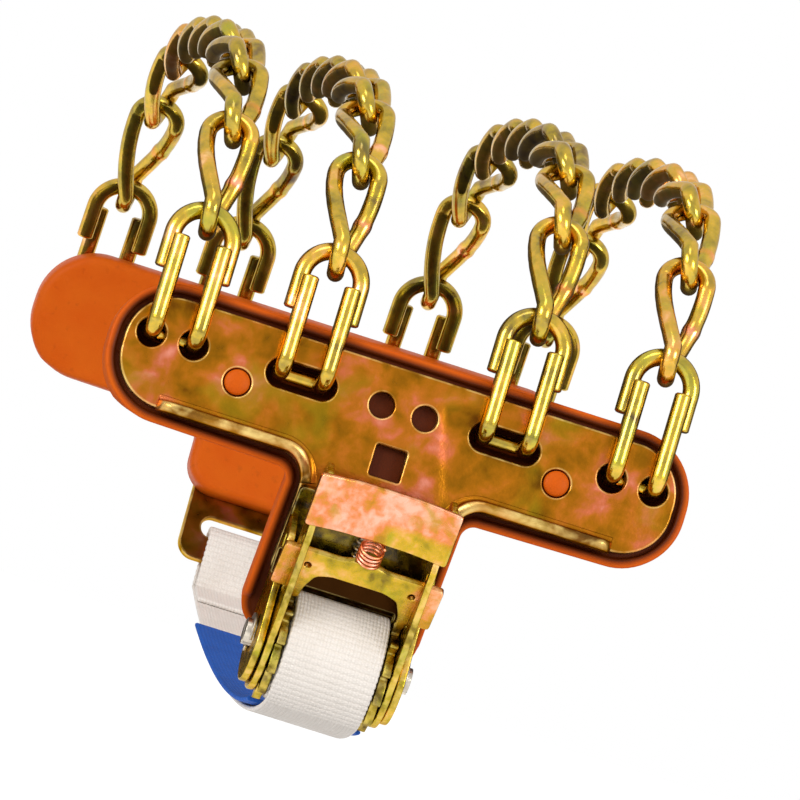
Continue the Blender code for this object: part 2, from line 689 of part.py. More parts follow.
def build_spool():
    """The slotted shaft that the strap winds on, thinner where it turns in the frame."""
    middle = circle((SPOOL_V, SPOOL_H), SPOOL_RADIUS, 16)
    shaft = add_object("spool", across_x("spool", middle, -HANDLE_TO, HANDLE_TO))
    journal = circle((SPOOL_V, SPOOL_H), JOURNAL_RADIUS, 16)
    for sign in (-1, 1):
        ends = sorted((sign * (HANDLE_TO - PAST), sign * SPOOL_HALF))
        combine(shaft, across_x("journal", journal, *ends), "UNION")
    slot = block(SPOOL_SLOT_ANGLE, -2 * SPOOL_RADIUS, 2 * SPOOL_RADIUS, -SPOOL_SLOT, SPOOL_SLOT)
    combine(shaft, across_x("slot", slot, -STRAP_HALF - GAP, STRAP_HALF + GAP), "DIFFERENCE")
    on_stem(shaft.data)
    hinge_at(shaft, 0.0, *SPOOL_AXIS)
    finish_as(shaft, STEEL, 0.35, 1.0)


def build_wheels():
    """Two toothed wheels on the spool, each tooth a ramp, a narrow tip and a steep fall."""
    teeth = []
    for tooth in range(TEETH):
        start = TOOTH_START + 360.0 / TEETH * tooth
        for share in (0.0, 0.5, 1.0):
            reach = WHEEL_ROOT + (WHEEL_TIP - WHEEL_ROOT) * share
            teeth.append(spun(math.radians(start + RAMP * share), reach))
        teeth.append(spun(math.radians(start + RAMP + TIP_WIDTH), WHEEL_TIP))
    hole = circle((SPOOL_V, SPOOL_H), SPOOL_RADIUS + GAP, 16)
    for label, sign in (("left", -1), ("right", 1)):
        ends = sorted((sign * WHEEL_FROM, sign * WHEEL_TO))
        name = "ratchet_wheel_" + label
        disc = slab(name, [teeth, hole], *ends)
        disc.transform(SIDEWAYS)
        wheel = add_object(name, on_stem(disc))
        hinge_at(wheel, 0.0, *SPOOL_AXIS)
        finish_as(wheel, ZINC, 0.35, 1.0)


def build_roll():
    """The strap wound on the spool, one band in a spiral from the shaft outward."""
    turns = np.linspace(0.0, 2 * math.pi * ROLL_TURNS, int(ROLL_TURNS * 24) + 1)
    reach = ROLL_START + ROLL_STEP * turns / (2 * math.pi)
    points = np.array([spun(ROLL_END - turns[-1] + t, r) for t, r in zip(turns, reach)])
    report_gap("strap_roll", np.column_stack((np.zeros(len(points)), points)), STRAP / 2, 12)
    roll = add_object("strap_roll", on_stem(ribbon("strap_roll", points, STRAP_HALF, STRAP)))
    hinge_at(roll, 0.0, *SPOOL_AXIS)
    finish_as(roll, WHITE, 0.8, 0.0)


def strap_path():
    """Strap points (y, z) from the roll through the wheel to the inner stem, on one smooth curve."""
    reach = ROLL_START + ROLL_STEP * ROLL_TURNS + STRAP + GAP
    turn = np.array((math.cos(RUN_LEAVES), math.sin(RUN_LEAVES)))
    start = np.array(SPOOL_AXIS) - reach * turn
    leaves = start + RUN_PULL * np.array((turn[1], -turn[0]))
    top = np.array(fold(STRAP_SLOT_V, PLATE + STRAP_OFF, "inner"))
    near = np.array(fold(STRAP_SLOT_V - RUN_REACH, PLATE + STRAP_OFF, "inner"))
    down = (near - top) / np.linalg.norm(near - top)
    comes = near + (RUN_EASE * down[0] + RUN_SAG[0], RUN_SAG[1])
    t = np.linspace(0.0, 1.0, 29)[:, None]
    run = (1 - t) ** 3 * start + 3 * t * (1 - t) ** 2 * leaves
    return run + 3 * t * t * (1 - t) * comes + t ** 3 * near


def strap_hook():
    """Strap points (y, z) up the inner stem, through its slot and down again behind the foot."""
    slot, foot = STRAP_SLOT_V, INNER_STEM_END
    front, back, turn = PLATE + STRAP_OFF, -STRAP_OFF, STRAP_SLOT_WIDE
    flat = [(slot - 3 * turn, front), (slot - turn, front), (slot, PLATE), (slot, PLATE / 2), (slot, 0.0)]
    flat += [(slot - turn, back), (foot - turn / 2, back), (foot - 2 * turn, back / 4)]
    return [fold(v, h, "inner") for v, h in flat]


def build_strap():
    """The free strap with its sewn end through the inner plate's slot, and the sleeve on it."""
    run = strap_path()
    points = list(map(tuple, run)) + strap_hook()
    strap = add_object("strap_run", ribbon("strap_run", points, STRAP_HALF, STRAP))
    finish_as(strap, WHITE, 0.8, 0.0)
    slope = np.gradient(run, axis=0)
    slope /= np.linalg.norm(slope, axis=1)[:, None]
    normal = np.column_stack((-slope[:, 1], slope[:, 0]))
    above = (run + normal * ((STRAP + SLEEVE) / 2 + SLEEVE_GAP))[:-SLEEVE_SHORT]
    from_spool = np.hypot(above[:, 0] - SPOOL_AXIS[0], above[:, 1] - SPOOL_AXIS[1])
    above = above[from_spool > WHEEL_TIP + SLEEVE]
    sleeve = add_object("strap_sleeve", ribbon("strap_sleeve", list(map(tuple, above)), SLEEVE_HALF, SLEEVE))
    finish_as(sleeve, BLUE, 0.7, 0.0)


def main():
    """Build every piece, then print the sizes that the record needs."""
    clear_scene()
    build_chains(JOINTS)
    build_plates()
    build_frame()
    build_handle()
    build_drive_pawl()
    build_lock_pawl()
    build_spool()
    build_wheels()
    build_roll()
    build_strap()
    print("hinges", [(round(y, 6), round(z, 6)) for y, z in JOINTS])
    print("outer hinge", fold(STAPLE_V, STAPLE_BACK_H, "outer"), "spool axis", SPOOL_AXIS)


SIDEWAYS = Matrix(((0, 0, 1, 0), (1, 0, 0, 0), (0, 1, 0, 0), (0, 0, 0, 1)))
UPRIGHT = Matrix(((1, 0, 0, 0), (0, 0, 1, 0), (0, 1, 0, 0), (0, 0, 0, 1)))
EYE = WIRE + SLACK
JOINTS = chain_joints()
LOOP_V = LOOP_APEX_V - FOLD_RADIUS * BAR_TILT
LOOP_REACH = FOLD_RADIUS + LOOP_H
FOLD_Y = JOINTS[0][0] + LOOP_REACH * math.cos(BAR_TILT) - LOOP_V * math.sin(BAR_TILT)
FOLD_Z = JOINTS[0][1] - LOOP_REACH * math.sin(BAR_TILT) - LOOP_V * math.cos(BAR_TILT)
SPOOL_AXIS = fold(SPOOL_V, SPOOL_H, "outer")
STEM_FOOT = fold(-FOLD_RADIUS * STEM_TILT, 0.0, "outer")
STEM = Matrix.Translation((0.0, *STEM_FOOT)) @ Matrix((
    (1, 0, 0, 0),
    (0, -math.sin(STEM_TILT), -math.cos(STEM_TILT), 0),
    (0, math.cos(STEM_TILT), -math.sin(STEM_TILT), 0),
    (0, 0, 0, 1),
)) @ Matrix.Translation((0.0, FOLD_RADIUS * STEM_TILT, 0.0))

main()
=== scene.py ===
# One snow chain unit: four chains of twisted links between two zinc T-plates on orange pads, drawn
# tight by a small strap ratchet. Metres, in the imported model's own frame.
import json
import math

import bmesh
import bpy
import numpy as np
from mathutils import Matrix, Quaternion, Vector
from mathutils.geometry import delaunay_2d_cdt


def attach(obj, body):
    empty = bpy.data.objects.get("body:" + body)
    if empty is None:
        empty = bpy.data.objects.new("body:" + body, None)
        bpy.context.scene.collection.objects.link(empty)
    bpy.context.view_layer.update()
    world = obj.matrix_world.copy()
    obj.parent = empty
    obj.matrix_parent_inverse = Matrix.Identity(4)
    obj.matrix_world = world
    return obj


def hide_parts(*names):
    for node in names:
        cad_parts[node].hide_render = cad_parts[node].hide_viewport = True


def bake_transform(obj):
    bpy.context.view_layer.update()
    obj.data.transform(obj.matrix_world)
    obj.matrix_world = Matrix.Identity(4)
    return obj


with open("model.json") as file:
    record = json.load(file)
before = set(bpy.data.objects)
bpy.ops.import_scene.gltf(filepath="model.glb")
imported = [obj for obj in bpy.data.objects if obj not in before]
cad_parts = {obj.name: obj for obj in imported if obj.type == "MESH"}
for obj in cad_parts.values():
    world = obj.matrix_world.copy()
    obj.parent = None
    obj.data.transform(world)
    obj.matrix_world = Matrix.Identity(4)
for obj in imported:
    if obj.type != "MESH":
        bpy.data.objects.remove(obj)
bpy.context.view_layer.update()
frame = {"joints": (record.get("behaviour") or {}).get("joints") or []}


# T-plates. Two pressings of 3 mm steel sheet, yellow zinc plated: the bar carries the chain ends in
# holes and slots and has two turned-up lips, and the stem is bent back below it.
# The outer stem carries the ratchet; the inner one is longer and has a slot for the strap's sewn end.
PLATE_THICK = 0.0030
PLATE_EDGE = 0.0005
FOLD_RADIUS = 0.0200
BAR_TILT = math.radians(8.0)
STEM_TILT = math.radians(20.0)
BAR_HALF, BAR_LOW, BAR_HIGH = 0.0740, 0.0020, 0.0320
BAR_CORNER, BAR_TAPER = 0.0130, 0.0006
STEM_HALF, STEM_CORNER, NECK_FILLET = 0.0200, 0.0050, 0.0070
OUTER_STEM_END, INNER_STEM_END = -0.0310, -0.0400
CHAIN_X = {"a": -0.0620, "b": -0.0274, "c": 0.0274, "d": 0.0620}
SLOTTED = "bc"
STAPLE_X = 0.00565
HOLE_V, HOLE_RADIUS = 0.0206, 0.00375
SIGHT_HOLE_X, SIGHT_HOLE_RADIUS = 0.0058, 0.0033
SQUARE_V, SQUARE_HALF, SQUARE_CORNER = 0.0068, 0.0041, 0.0007
PLUG_X, PLUG_V, PLUG_RADIUS, PLUG_GAP = 0.0430, 0.0150, 0.0033, 0.0003
STRAP_SLOT_V, STRAP_SLOT_HALF, STRAP_SLOT_WIDE = -0.0300, 0.0150, 0.0028
LIP_TO, LIP_HEIGHT, LIP_THICK, LIP_CORNER = 0.0610, 0.0055, 0.0026, 0.0042
LIP_EDGE, LIP_FILLET, LIP_CURL, LIP_DIES = 0.0012, 0.0016, 80.0, 0.6
LIP_STEPS, NECK_STEPS, PLATE_NET = 69, 40, 0.0012
ZINC_GLANCE = (0.66, 0.50, 0.16, 1.0)
SWAGE, SWAGE_HALF, SWAGE_TOP = 0.00030, 0.0098, 0.0262
SWAGE_WIDENS, SWAGE_SLOPE, SWAGE_FADES = 0.30, 0.0020, (-0.0015, 0.0025)
# Tone painted darker on the outer stem's face and on the ratchet frame's base: painted shade under the
# ratchet.
STEM_PAINTED_SHADE, STEM_PAINTED_SHADE_V = -0.22, (0.0030, 0.0110)
LOOP_APEX_V, LOOP_H = 0.0547, 0.0026
OUTER, INNER = 1.0, -1.0

hinges = {joint["name"]: np.array(joint["pos_m"]) for joint in frame["joints"] if "pos_m" in joint}
first_hinge = hinges["link_b1_swing"]
apex_reach = FOLD_RADIUS + LOOP_H
apex_along = LOOP_APEX_V - FOLD_RADIUS * BAR_TILT
FOLD_Y = first_hinge[1] + apex_reach * math.cos(BAR_TILT) - apex_along * math.sin(BAR_TILT)
FOLD_Z = first_hinge[2] - apex_reach * math.sin(BAR_TILT) - apex_along * math.cos(BAR_TILT)


def folded(x, v, h, side=OUTER):
    """A plate point in the frame: v runs up the flat sheet and h off its face. Between the two tilts
    the sheet rolls round the fold's centre, and past them it runs straight on."""
    turn = np.clip(v / FOLD_RADIUS, -STEM_TILT, BAR_TILT)
    along = v - FOLD_RADIUS * turn
    y = FOLD_Y - (FOLD_RADIUS + h) * np.cos(turn) + along * np.sin(turn)
    z = FOLD_Z + (FOLD_RADIUS + h) * np.sin(turn) + along * np.cos(turn)
    return np.stack(np.broadcast_arrays(x, side * y, z), axis=-1)


def arc(x, v, radius, start, stop, steps=10):
    """Points on part of a circle about (x, v), from one angle in degrees to another."""
    turn = np.radians(np.linspace(start, stop, steps + 1))
    return np.column_stack((x + radius * np.cos(turn), v + radius * np.sin(turn)))


def ring(x, v, radius, steps=36):
    """A closed circle of points."""
    return arc(x, v, radius, 0.0, 360.0, steps)[:-1]


def obround(x, v, half_long, half_wide):
    """A slot with round ends, long in x."""
    reach = half_long - half_wide
    return np.vstack((arc(x + reach, v, half_wide, -90, 90, 16), arc(x - reach, v, half_wide, 90, 270, 16)))


def tee(grow, stem_end):
    """The T's outline grown outward all round: foot, neck and bar corners as arcs, then their mirror."""
    half, low, high = BAR_HALF + grow, BAR_LOW - grow, BAR_HIGH + grow
    stem, foot = STEM_HALF + grow, stem_end - grow
    corner, small, neck = BAR_CORNER + grow, STEM_CORNER + grow, NECK_FILLET - grow
    right = np.vstack((
        arc(stem - small, foot + small, small, -90, 0),
        arc(stem + neck, low - neck, neck, 180, 90),
        arc(half - corner, low + corner + BAR_TAPER, corner, -90, 0, 16),
        arc(half - corner, high - corner - BAR_TAPER, corner, 0, 90, 16),
    ))
    return np.vstack((right, right[::-1] * (-1.0, 1.0)))


def softened(corners, radius, closed=True, steps=6):
    """A polygon with each corner rounded: a short curve from one side to the other, pulled to the
    corner as a quadratic curve is, and no longer than 0.45 of the shorter side."""
    corners = np.asarray(corners, float)
    before, after = np.roll(corners, 1, 0) - corners, np.roll(corners, -1, 0) - corners
    back, on = (np.linalg.norm(side, axis=1)[:, None] for side in (before, after))
    cut = np.minimum(radius, 0.45 * np.minimum(back, on))
    start, stop = corners + before / back * cut, corners + after / on * cut
    t = np.linspace(0.0, 1.0, steps + 1)[None, :, None]
    curve = (1 - t) ** 2 * start[:, None] + 2 * t * (1 - t) * corners[:, None] + t * t * stop[:, None]
    if closed:
        return curve.reshape(-1, 2)
    return np.vstack((corners[:1], curve[1:-1].reshape(-1, 2), corners[-1:]))


def cuts(loop, step):
    """Even cuts along each side of a closed loop, at most a step apart: the side and the share along it."""
    side = np.roll(loop, -1, 0) - loop
    count = np.maximum(np.ceil(np.linalg.norm(side, axis=1) / step).astype(int), 1)
    which = np.repeat(np.arange(len(loop)), count)
    share = (np.arange(count.sum()) - np.repeat(np.cumsum(count) - count, count)) / count[which]
    return which, share[:, None]


def filled(loop, which, share):
    """A closed loop with a point at each cut."""
    return loop[which] + (np.roll(loop, -1, 0) - loop)[which] * share


def inside(loops, points):
    """True where a line drawn to the right from a point crosses the loops an odd number of times."""
    crossings = np.zeros(len(points), int)
    x, v = points[:, :1], points[:, 1:]
    for loop in loops:
        ends = np.roll(loop, -1, 0)
        rise = np.where(ends[:, 1] == loop[:, 1], 1.0, ends[:, 1] - loop[:, 1])
        at = loop[:, 0] + (v - loop[:, 1]) / rise * (ends[:, 0] - loop[:, 0])
        crossings += (((loop[:, 1] > v) != (ends[:, 1] > v)) & (x < at)).sum(axis=1)
    return crossings % 2 == 1


def netted(loops, spacing):
    """Flat net over the outline: the loops' own points, then a staggered grid between them, joined
    by the triangulation that avoids thin triangles. Triangles in holes are left out."""
    edge = np.vstack(loops)
    if spacing:
        low, high = edge.min(0), edge.max(0)
        across, up = np.arange(low[0], high[0], spacing), np.arange(low[1], high[1], spacing)
        x, v = np.meshgrid(across, up)
        x[1::2] += spacing / 2
        grid = np.column_stack((x.ravel(), v.ravel()))
        grid = grid[inside(loops, grid)]
        nearest = np.hypot(*(grid.T[:, :, None] - edge.T[:, None])).min(axis=1)
        net = np.vstack((edge, grid[nearest > 0.6 * spacing]))
    else:
        net = edge
    starts = np.cumsum([0] + [len(loop) for loop in loops])
    sides = [np.column_stack((a + np.arange(b - a), a + (np.arange(b - a) + 1) % (b - a)))
             for a, b in zip(starts[:-1], starts[1:])]
    made = delaunay_2d_cdt(net.tolist(), np.vstack(sides).tolist(), [], 0, 1e-9)
    triangles = np.array(made[2])
    return net, triangles[inside(loops, net[triangles].mean(axis=1))]


def between(rows, closed=True, wrap=False):
    """Four-sided faces between neighbouring rows of a grid of point numbers."""
    if closed:
        rows = np.concatenate((rows, rows[:, :1]), axis=1)
    if wrap:
        rows = np.concatenate((rows, rows[:1]), axis=0)
    corners = (rows[:-1, :-1], rows[:-1, 1:], rows[1:, 1:], rows[1:, :-1])
    return np.stack(corners, axis=-1).reshape(-1, 4)


def shape_of(points, *faces, **marks):
    """A worked-out shape: points, lists of faces, and what is marked on each point."""
    marks.setdefault("wear", np.zeros(len(points)))
    return {"points": np.asarray(points, float), "faces": [np.asarray(f) for f in faces], "marks": marks}


def joined(*shapes):
    """Several shapes as one, their point numbers following on."""
    starts = np.cumsum([0] + [len(s["points"]) for s in shapes])
    faces = [f + start for s, start in zip(shapes, starts) for f in s["faces"]]
    names = sorted({name for s in shapes for name in s["marks"]})
    marks = {name: np.concatenate([s["marks"].get(name, np.zeros(len(s["points"]))) for s in shapes])
             for name in names}
    return shape_of(np.vstack([s["points"] for s in shapes]), *faces, **marks)


def placed(shape, place):
    """The same shape with each point (p, q, t) carried to where place puts it."""
    return {**shape, "points": place(*shape["points"].T)}


def headings(path, closed=False):
    """The direction of a path at each of its points, as unit lengths."""
    ahead = np.roll(path, -1, 0) - np.roll(path, 1, 0) if closed else np.gradient(path, axis=0)
    return ahead / np.linalg.norm(ahead, axis=1)[:, None]


def beside(path, closed=False):
    """The direction square to a flat path at each of its points, to its left."""
    ahead = headings(path, closed)
    return np.column_stack((-ahead[:, 1], ahead[:, 0]))


def pressed(loops, thick, edge=0.0004, spacing=None, step=0.0010):
    """A flat sheet from its outline and holes, as (x, v, height). Copies of each loop step in over two
    quarter-round edges, and one net on the innermost copies closes both faces. Edges are marked worn."""
    bend = np.radians(np.linspace(0.0, 90.0, 4))
    turn_in, rise = edge * (1 - np.sin(bend)), edge * (1 - np.cos(bend))
    hold = [1.3 * edge]
    inset = np.concatenate((hold, turn_in, turn_in[::-1], hold))
    height = np.concatenate(([0.0], rise, thick - rise[::-1], [thick]))
    rubbed = np.concatenate(([0.0], np.linspace(0.5, 1.0, 4), np.linspace(1.0, 0.5, 4), [0.0]))
    points, faces, wear, rims, firsts, lasts = [], [], [], [], [], []
    total = 0
    for number, loop in enumerate(loops):
        loop = np.asarray(loop, float)
        loop = filled(loop, *cuts(loop, step))
        ends = np.roll(loop, -1, 0)
        area = np.sum(loop[:, 0] * ends[:, 1] - ends[:, 0] * loop[:, 1])
        loop = loop[::-1] if (area > 0) == (number > 0) else loop
        inward = beside(loop, closed=True)
        flat = loop + inset[:, None, None] * inward
        level = np.broadcast_to(height[:, None, None], flat.shape[:2] + (1,))
        points.append(np.concatenate((flat, level), axis=2).reshape(-1, 3))
        numbers = total + np.arange(flat.shape[0] * flat.shape[1]).reshape(flat.shape[:2])
        faces.append(between(numbers))
        wear.append(np.repeat(rubbed, len(loop)))
        rims.append(flat[0])
        firsts.append(numbers[0])
        lasts.append(numbers[-1])
        total += numbers.size
    net, triangles = netted(rims, spacing)
    extra = net[sum(len(r) for r in rims):]
    for level, numbers in ((0.0, firsts), (thick, lasts)):
        numbers = np.concatenate(numbers + [total + np.arange(len(extra))])
        faces.append(numbers[triangles])
        points.append(np.column_stack((extra, np.full(len(extra), level))))
        wear.append(np.zeros(len(extra)))
        total += len(extra)
    return shape_of(np.vstack(points), *faces, wear=np.concatenate(wear))


def piece(name, shape, material, body, slot, *nodes):
    """One finished object at the origin: mesh, outward faces, marks, material, its body and its solids.
    In place of one body, two bodies and two points may be given; the piece then joins no body and stays where
    it is made."""
    mesh = bpy.data.meshes.new(name)
    mesh.from_pydata(shape["points"].tolist(), [], [f for group in shape["faces"] for f in group.tolist()])
    work = bmesh.new()
    work.from_mesh(mesh)
    bmesh.ops.recalc_face_normals(work, faces=work.faces)
    work.to_mesh(mesh)
    work.free()
    for mark, values in shape["marks"].items():
        mesh.attributes.new(mark, "FLOAT", "POINT").data.foreach_set("value", values.astype(np.float32))
    mesh.shade_smooth()
    mesh.materials.append(material)
    made = bpy.data.objects.new(name, mesh)
    bpy.context.scene.collection.objects.link(made)
    if isinstance(body, str):
        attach(made, body)
    else:
        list(body)
        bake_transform(made)
    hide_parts(*nodes)
    return made


def feed(tree, made, values):
    """Give a node's inputs their values, as links where they come from other nodes."""
    for name, value in values.items():
        if isinstance(value, bpy.types.NodeSocket):
            tree.links.new(value, made.inputs[name])
        else:
            made.inputs[name].default_value = value


def node(tree, kind, values=None, **settings):
    """Place one shader node, with its settings and its input values or links."""
    made = tree.nodes.new("ShaderNode" + kind)
    for name, value in settings.items():
        setattr(made, name, value)
    feed(tree, made, values or {})
    return made


def new_finish(name):
    """An empty material: itself, its tree and its shader."""
    material = bpy.data.materials.new(name)
    material.use_nodes = True
    return material, material.node_tree, material.node_tree.nodes["Principled BSDF"]


def noise(tree, scale, detail=3.0, seed=0.0, vector=None, distortion=0.0):
    """Cloudy values round 0.5 over Object coordinates, scale in features per metre."""
    if vector is None:
        vector = node(tree, "TexCoord").outputs["Object"]
    values = {"Vector": vector, "W": seed, "Scale": scale, "Detail": detail, "Distortion": distortion}
    return node(tree, "TexNoise", values, noise_dimensions="4D").outputs["Fac"]


def worked(tree, operation, first, second=0.0, third=0.0):
    """One sum of two or three values."""
    return node(tree, "Math", {0: first, 1: second, 2: third}, operation=operation).outputs[0]


def spread(tree, value, low, high, to_low=0.0, to_high=1.0):
    """A value taken from one span to another, held at its ends."""
    values = {"Value": value, "From Min": low, "From Max": high, "To Min": to_low, "To Max": to_high}
    return node(tree, "MapRange", values).outputs["Result"]


def tinted(tree, share, first, second, blend="MIX"):
    """One colour over another by a share."""
    values = {0: share, 6: first, 7: second}
    return node(tree, "Mix", values, data_type="RGBA", blend_type=blend).outputs[2]


def ramp(tree, value, *stops):
    """A colour that passes through the given stops as the value rises."""
    made = node(tree, "ValToRGB", {"Fac": value})
    entries = made.color_ramp.elements
    for place, colour in stops[2:]:
        entries.new(place)
    for entry, (place, colour) in zip(entries, sorted(stops)):
        entry.position, entry.color = place, (*colour, 1.0)
    return made.outputs["Color"]


def group_of(name, inputs, outputs):
    """An empty shader group with named sockets: its tree, what it is given, and the node it puts out by."""
    tree = bpy.data.node_groups.new(name, "ShaderNodeTree")
    for label, start in inputs.items():
        tree.interface.new_socket(label, in_out="INPUT", socket_type="NodeSocketFloat").default_value = start
    for label, kind in outputs.items():
        tree.interface.new_socket(label, in_out="OUTPUT", socket_type="NodeSocket" + kind)
    return tree, tree.nodes.new("NodeGroupInput").outputs, tree.nodes.new("NodeGroupOutput")


def zinc_film_group():
    """Yellow zinc film: slow clouds and a finer mottle, moved by the tone, choose between brown, olive,
    gold, rose and pale pink; green drifts over it but for the darkest tones, the hue turns the whole toward
    yellow, and rubbed edges turn pale. Height is the mottle and a fine grain."""
    inputs = {"Tone": 0.0, "Wear": 0.0, "Size": 1.0, "Dull": 1.0, "Hue": 0.0, "Bright": 1.0}
    outputs = {"Color": "Color", "Roughness": "Float", "Height": "Float"}
    tree, given, put = group_of("zinc_film", inputs, outputs)
    vector = node(tree, "TexCoord").outputs["Object"]
    sized = node(tree, "VectorMath", {0: vector, "Scale": given["Size"]}, operation="SCALE")
    place = sized.outputs[0]
    clouds = noise(tree, 42.0, 4.0, 1.0, place, 0.9)
    mottle = noise(tree, 170.0, 4.0, 2.0, place, 0.4)
    grain = noise(tree, 1400.0, 2.0, 3.0, place)
    mixed = worked(tree, "MULTIPLY_ADD", clouds, 0.62, worked(tree, "MULTIPLY", mottle, 0.38))
    mixed = worked(tree, "ADD", spread(tree, mixed, 0.3, 0.7, 0.24, 0.76), given["Tone"])
    film = ramp(tree, mixed, (0.22, (0.030, 0.012, 0.002)), (0.33, (0.13, 0.050, 0.003)),
                (0.42, (0.25, 0.115, 0.004)), (0.50, (0.36, 0.148, 0.006)), (0.57, (0.45, 0.165, 0.014)),
                (0.64, (0.54, 0.170, 0.055)), (0.78, (0.74, 0.330, 0.225)))
    drift = spread(tree, noise(tree, 60.0, 3.0, 7.0, place, 0.6), 0.54, 0.68, 0.0, 0.55)
    drift = worked(tree, "MULTIPLY", drift, spread(tree, given["Tone"], -0.30, -0.08))
    film = tinted(tree, drift, film, (0.28, 0.215, 0.008, 1.0))
    turned = {"Hue": worked(tree, "ADD", given["Hue"], 0.5), "Value": given["Bright"], "Color": film}
    film = node(tree, "HueSaturation", turned).outputs["Color"]
    rubbed = worked(tree, "MULTIPLY", given["Wear"], spread(tree, mottle, 0.40, 0.64, 0.05, 0.8))
    film = tinted(tree, rubbed, film, (0.80, 0.62, 0.22, 1.0))
    rough = worked(tree, "MULTIPLY", spread(tree, mottle, 0.3, 0.7, 0.26, 0.42), given["Dull"])
    height = worked(tree, "MULTIPLY_ADD", mottle, 0.6, worked(tree, "MULTIPLY", grain, 0.4))
    feed(tree, put, {"Color": film, "Roughness": rough, "Height": height})
    return tree


zinc_film = zinc_film_group()


def mark(tree, name):
    """A value marked on the mesh's points."""
    return node(tree, "Attribute", attribute_name=name).outputs["Fac"]


def zinc(name, tone, size, dents, dull, hue, bright, coat, worn):
    """Yellow zinc on steel, from the film group with this piece's tone, mottle size, dents, dullness, hue,
    brightness and share of wear, under a clear sealer. A rose tone marked on the mesh takes the yellow hue
    away, and at a glancing angle the metal keeps the film's colour."""
    material, tree, shader = new_finish(name)
    marked = mark(tree, "tone")
    film = node(tree, "Group", node_tree=zinc_film)
    feed(tree, film, {"Size": size, "Dull": dull, "Bright": bright,
                      "Hue": spread(tree, marked, 0.0, 0.15, hue, 0.0),
                      "Tone": worked(tree, "ADD", marked, tone),
                      "Wear": worked(tree, "MULTIPLY", mark(tree, "wear"), worn)})
    bump = node(tree, "Bump", {"Height": film.outputs["Height"], "Strength": 0.35, "Distance": dents})
    feed(tree, shader, {"Base Color": film.outputs["Color"], "Roughness": film.outputs["Roughness"],
                        "Normal": bump.outputs["Normal"], "Metallic": 1.0, "Specular Tint": ZINC_GLANCE,
                        "Coat Weight": coat, "Coat Roughness": 0.12, "Coat IOR": 1.8})
    return material


zinc_sheet = zinc("zinc_sheet", tone=0.02, size=1.0, dents=0.0004, dull=1.0, hue=-0.011, bright=1.0,
                  coat=0.0, worn=1.0)


def plate_loops(stem_end):
    """Outline, chain holes and slots, and plug holes, the same on both plates."""
    loops = [tee(0.0, stem_end)]
    for letter, x in CHAIN_X.items():
        if letter in SLOTTED:
            loops.append(obround(x, HOLE_V, STAPLE_X + HOLE_RADIUS, HOLE_RADIUS))
        else:
            loops += [ring(x + s * STAPLE_X, HOLE_V, HOLE_RADIUS) for s in (-1, 1)]
    return loops + [ring(s * PLUG_X, PLUG_V, PLUG_RADIUS + PLUG_GAP) for s in (-1, 1)]


def eased(value, low, high):
    """0 below low, 1 above high, and a smooth rise between."""
    share = np.clip((value - low) / (high - low), 0.0, 1.0)
    return share * share * (3 - 2 * share)


def lip(sign, side):
    """A turned-up lip: a flange section, rounded on top and filleted at its foot, carried along the bar's
    lower edge and round the neck. Its height rises as a quarter circle at the outer end and dies away
    round the neck."""
    along = np.linspace(LIP_TO, STEM_HALF + NECK_FILLET, LIP_STEPS + 1)[:-1]
    straight = np.column_stack((along, np.full(LIP_STEPS, BAR_LOW)))
    neck = arc(STEM_HALF + NECK_FILLET, BAR_LOW - NECK_FILLET, NECK_FILLET, 90, 90 + LIP_CURL, NECK_STEPS)
    path = np.vstack((straight, neck))
    inward = -beside(path)
    gone = np.minimum(LIP_TO - path[:, 0], LIP_CORNER)
    top = LIP_HEIGHT - LIP_CORNER + np.sqrt(LIP_CORNER ** 2 - (LIP_CORNER - gone) ** 2)
    curled = np.concatenate((np.zeros(LIP_STEPS), np.linspace(0.0, 1.0, NECK_STEPS + 1)))
    top = top * np.cos(curled * math.pi / 2) ** LIP_DIES
    outer = arc(LIP_EDGE, -LIP_EDGE, LIP_EDGE, 180, 90, 5)
    inner = arc(LIP_THICK - LIP_EDGE, -LIP_EDGE, LIP_EDGE, 90, 0, 5)
    foot = arc(LIP_THICK + LIP_FILLET, LIP_FILLET - LIP_HEIGHT, LIP_FILLET, 180, 270, 6)
    sunk = -LIP_HEIGHT - PLATE_THICK / 2
    section = np.vstack((outer, inner, foot, [(LIP_THICK + LIP_FILLET, sunk), (0.0, sunk)]))
    off_sheet = section[:, 1] + LIP_HEIGHT
    height = PLATE_THICK + np.where(off_sheet > 0, off_sheet / LIP_HEIGHT * top[:, None], off_sheet)
    spot = path[:, None] + inward[:, None] * section[:, :1]
    flat = np.stack((sign * spot[..., 0], spot[..., 1], height), -1)
    numbers = np.arange(height.size).reshape(height.shape)
    worn = np.broadcast_to(eased(section[:, 1], -0.8 * LIP_EDGE, -0.1 * LIP_EDGE), height.shape).ravel()
    shape = shape_of(flat.reshape(-1, 3), between(numbers), numbers[:1, ::-1], numbers[-1:], wear=worn)
    return placed(shape, lambda x, v, h: folded(x, v, h, side))


def swage(x, v):
    """Height of the low raised panel between the lips, wider toward the neck, with sloping sides."""
    half = SWAGE_HALF + SWAGE_WIDENS * np.maximum(SWAGE_TOP - v, 0.0)
    across = eased(half - np.abs(x), 0.0, SWAGE_SLOPE)
    return SWAGE * across * eased(SWAGE_TOP - v, 0.0, SWAGE_SLOPE) * eased(v, *SWAGE_FADES)


def plate(loops, side):
    """The pressed T, folded, with its two lips and a raised panel above its neck. On the outer plate the
    stem's front face is toned darker down the stem: painted shade under the ratchet.
    """
    flat = pressed(loops, PLATE_THICK, PLATE_EDGE, PLATE_NET)
    # Painted shade: the outer plate's front face darkens down its stem, where the ratchet shades it.
    stem_shade_mask = eased(-flat["points"][:, 1], *STEM_PAINTED_SHADE_V) * (flat["points"][:, 2] > PLATE_THICK / 2)
    flat["marks"]["tone"] = STEM_PAINTED_SHADE * stem_shade_mask * (side == OUTER)
    sheet = placed(flat, lambda x, v, h: folded(x, v, h + swage(x, v), side))
    return joined(sheet, lip(-1, side), lip(1, side))


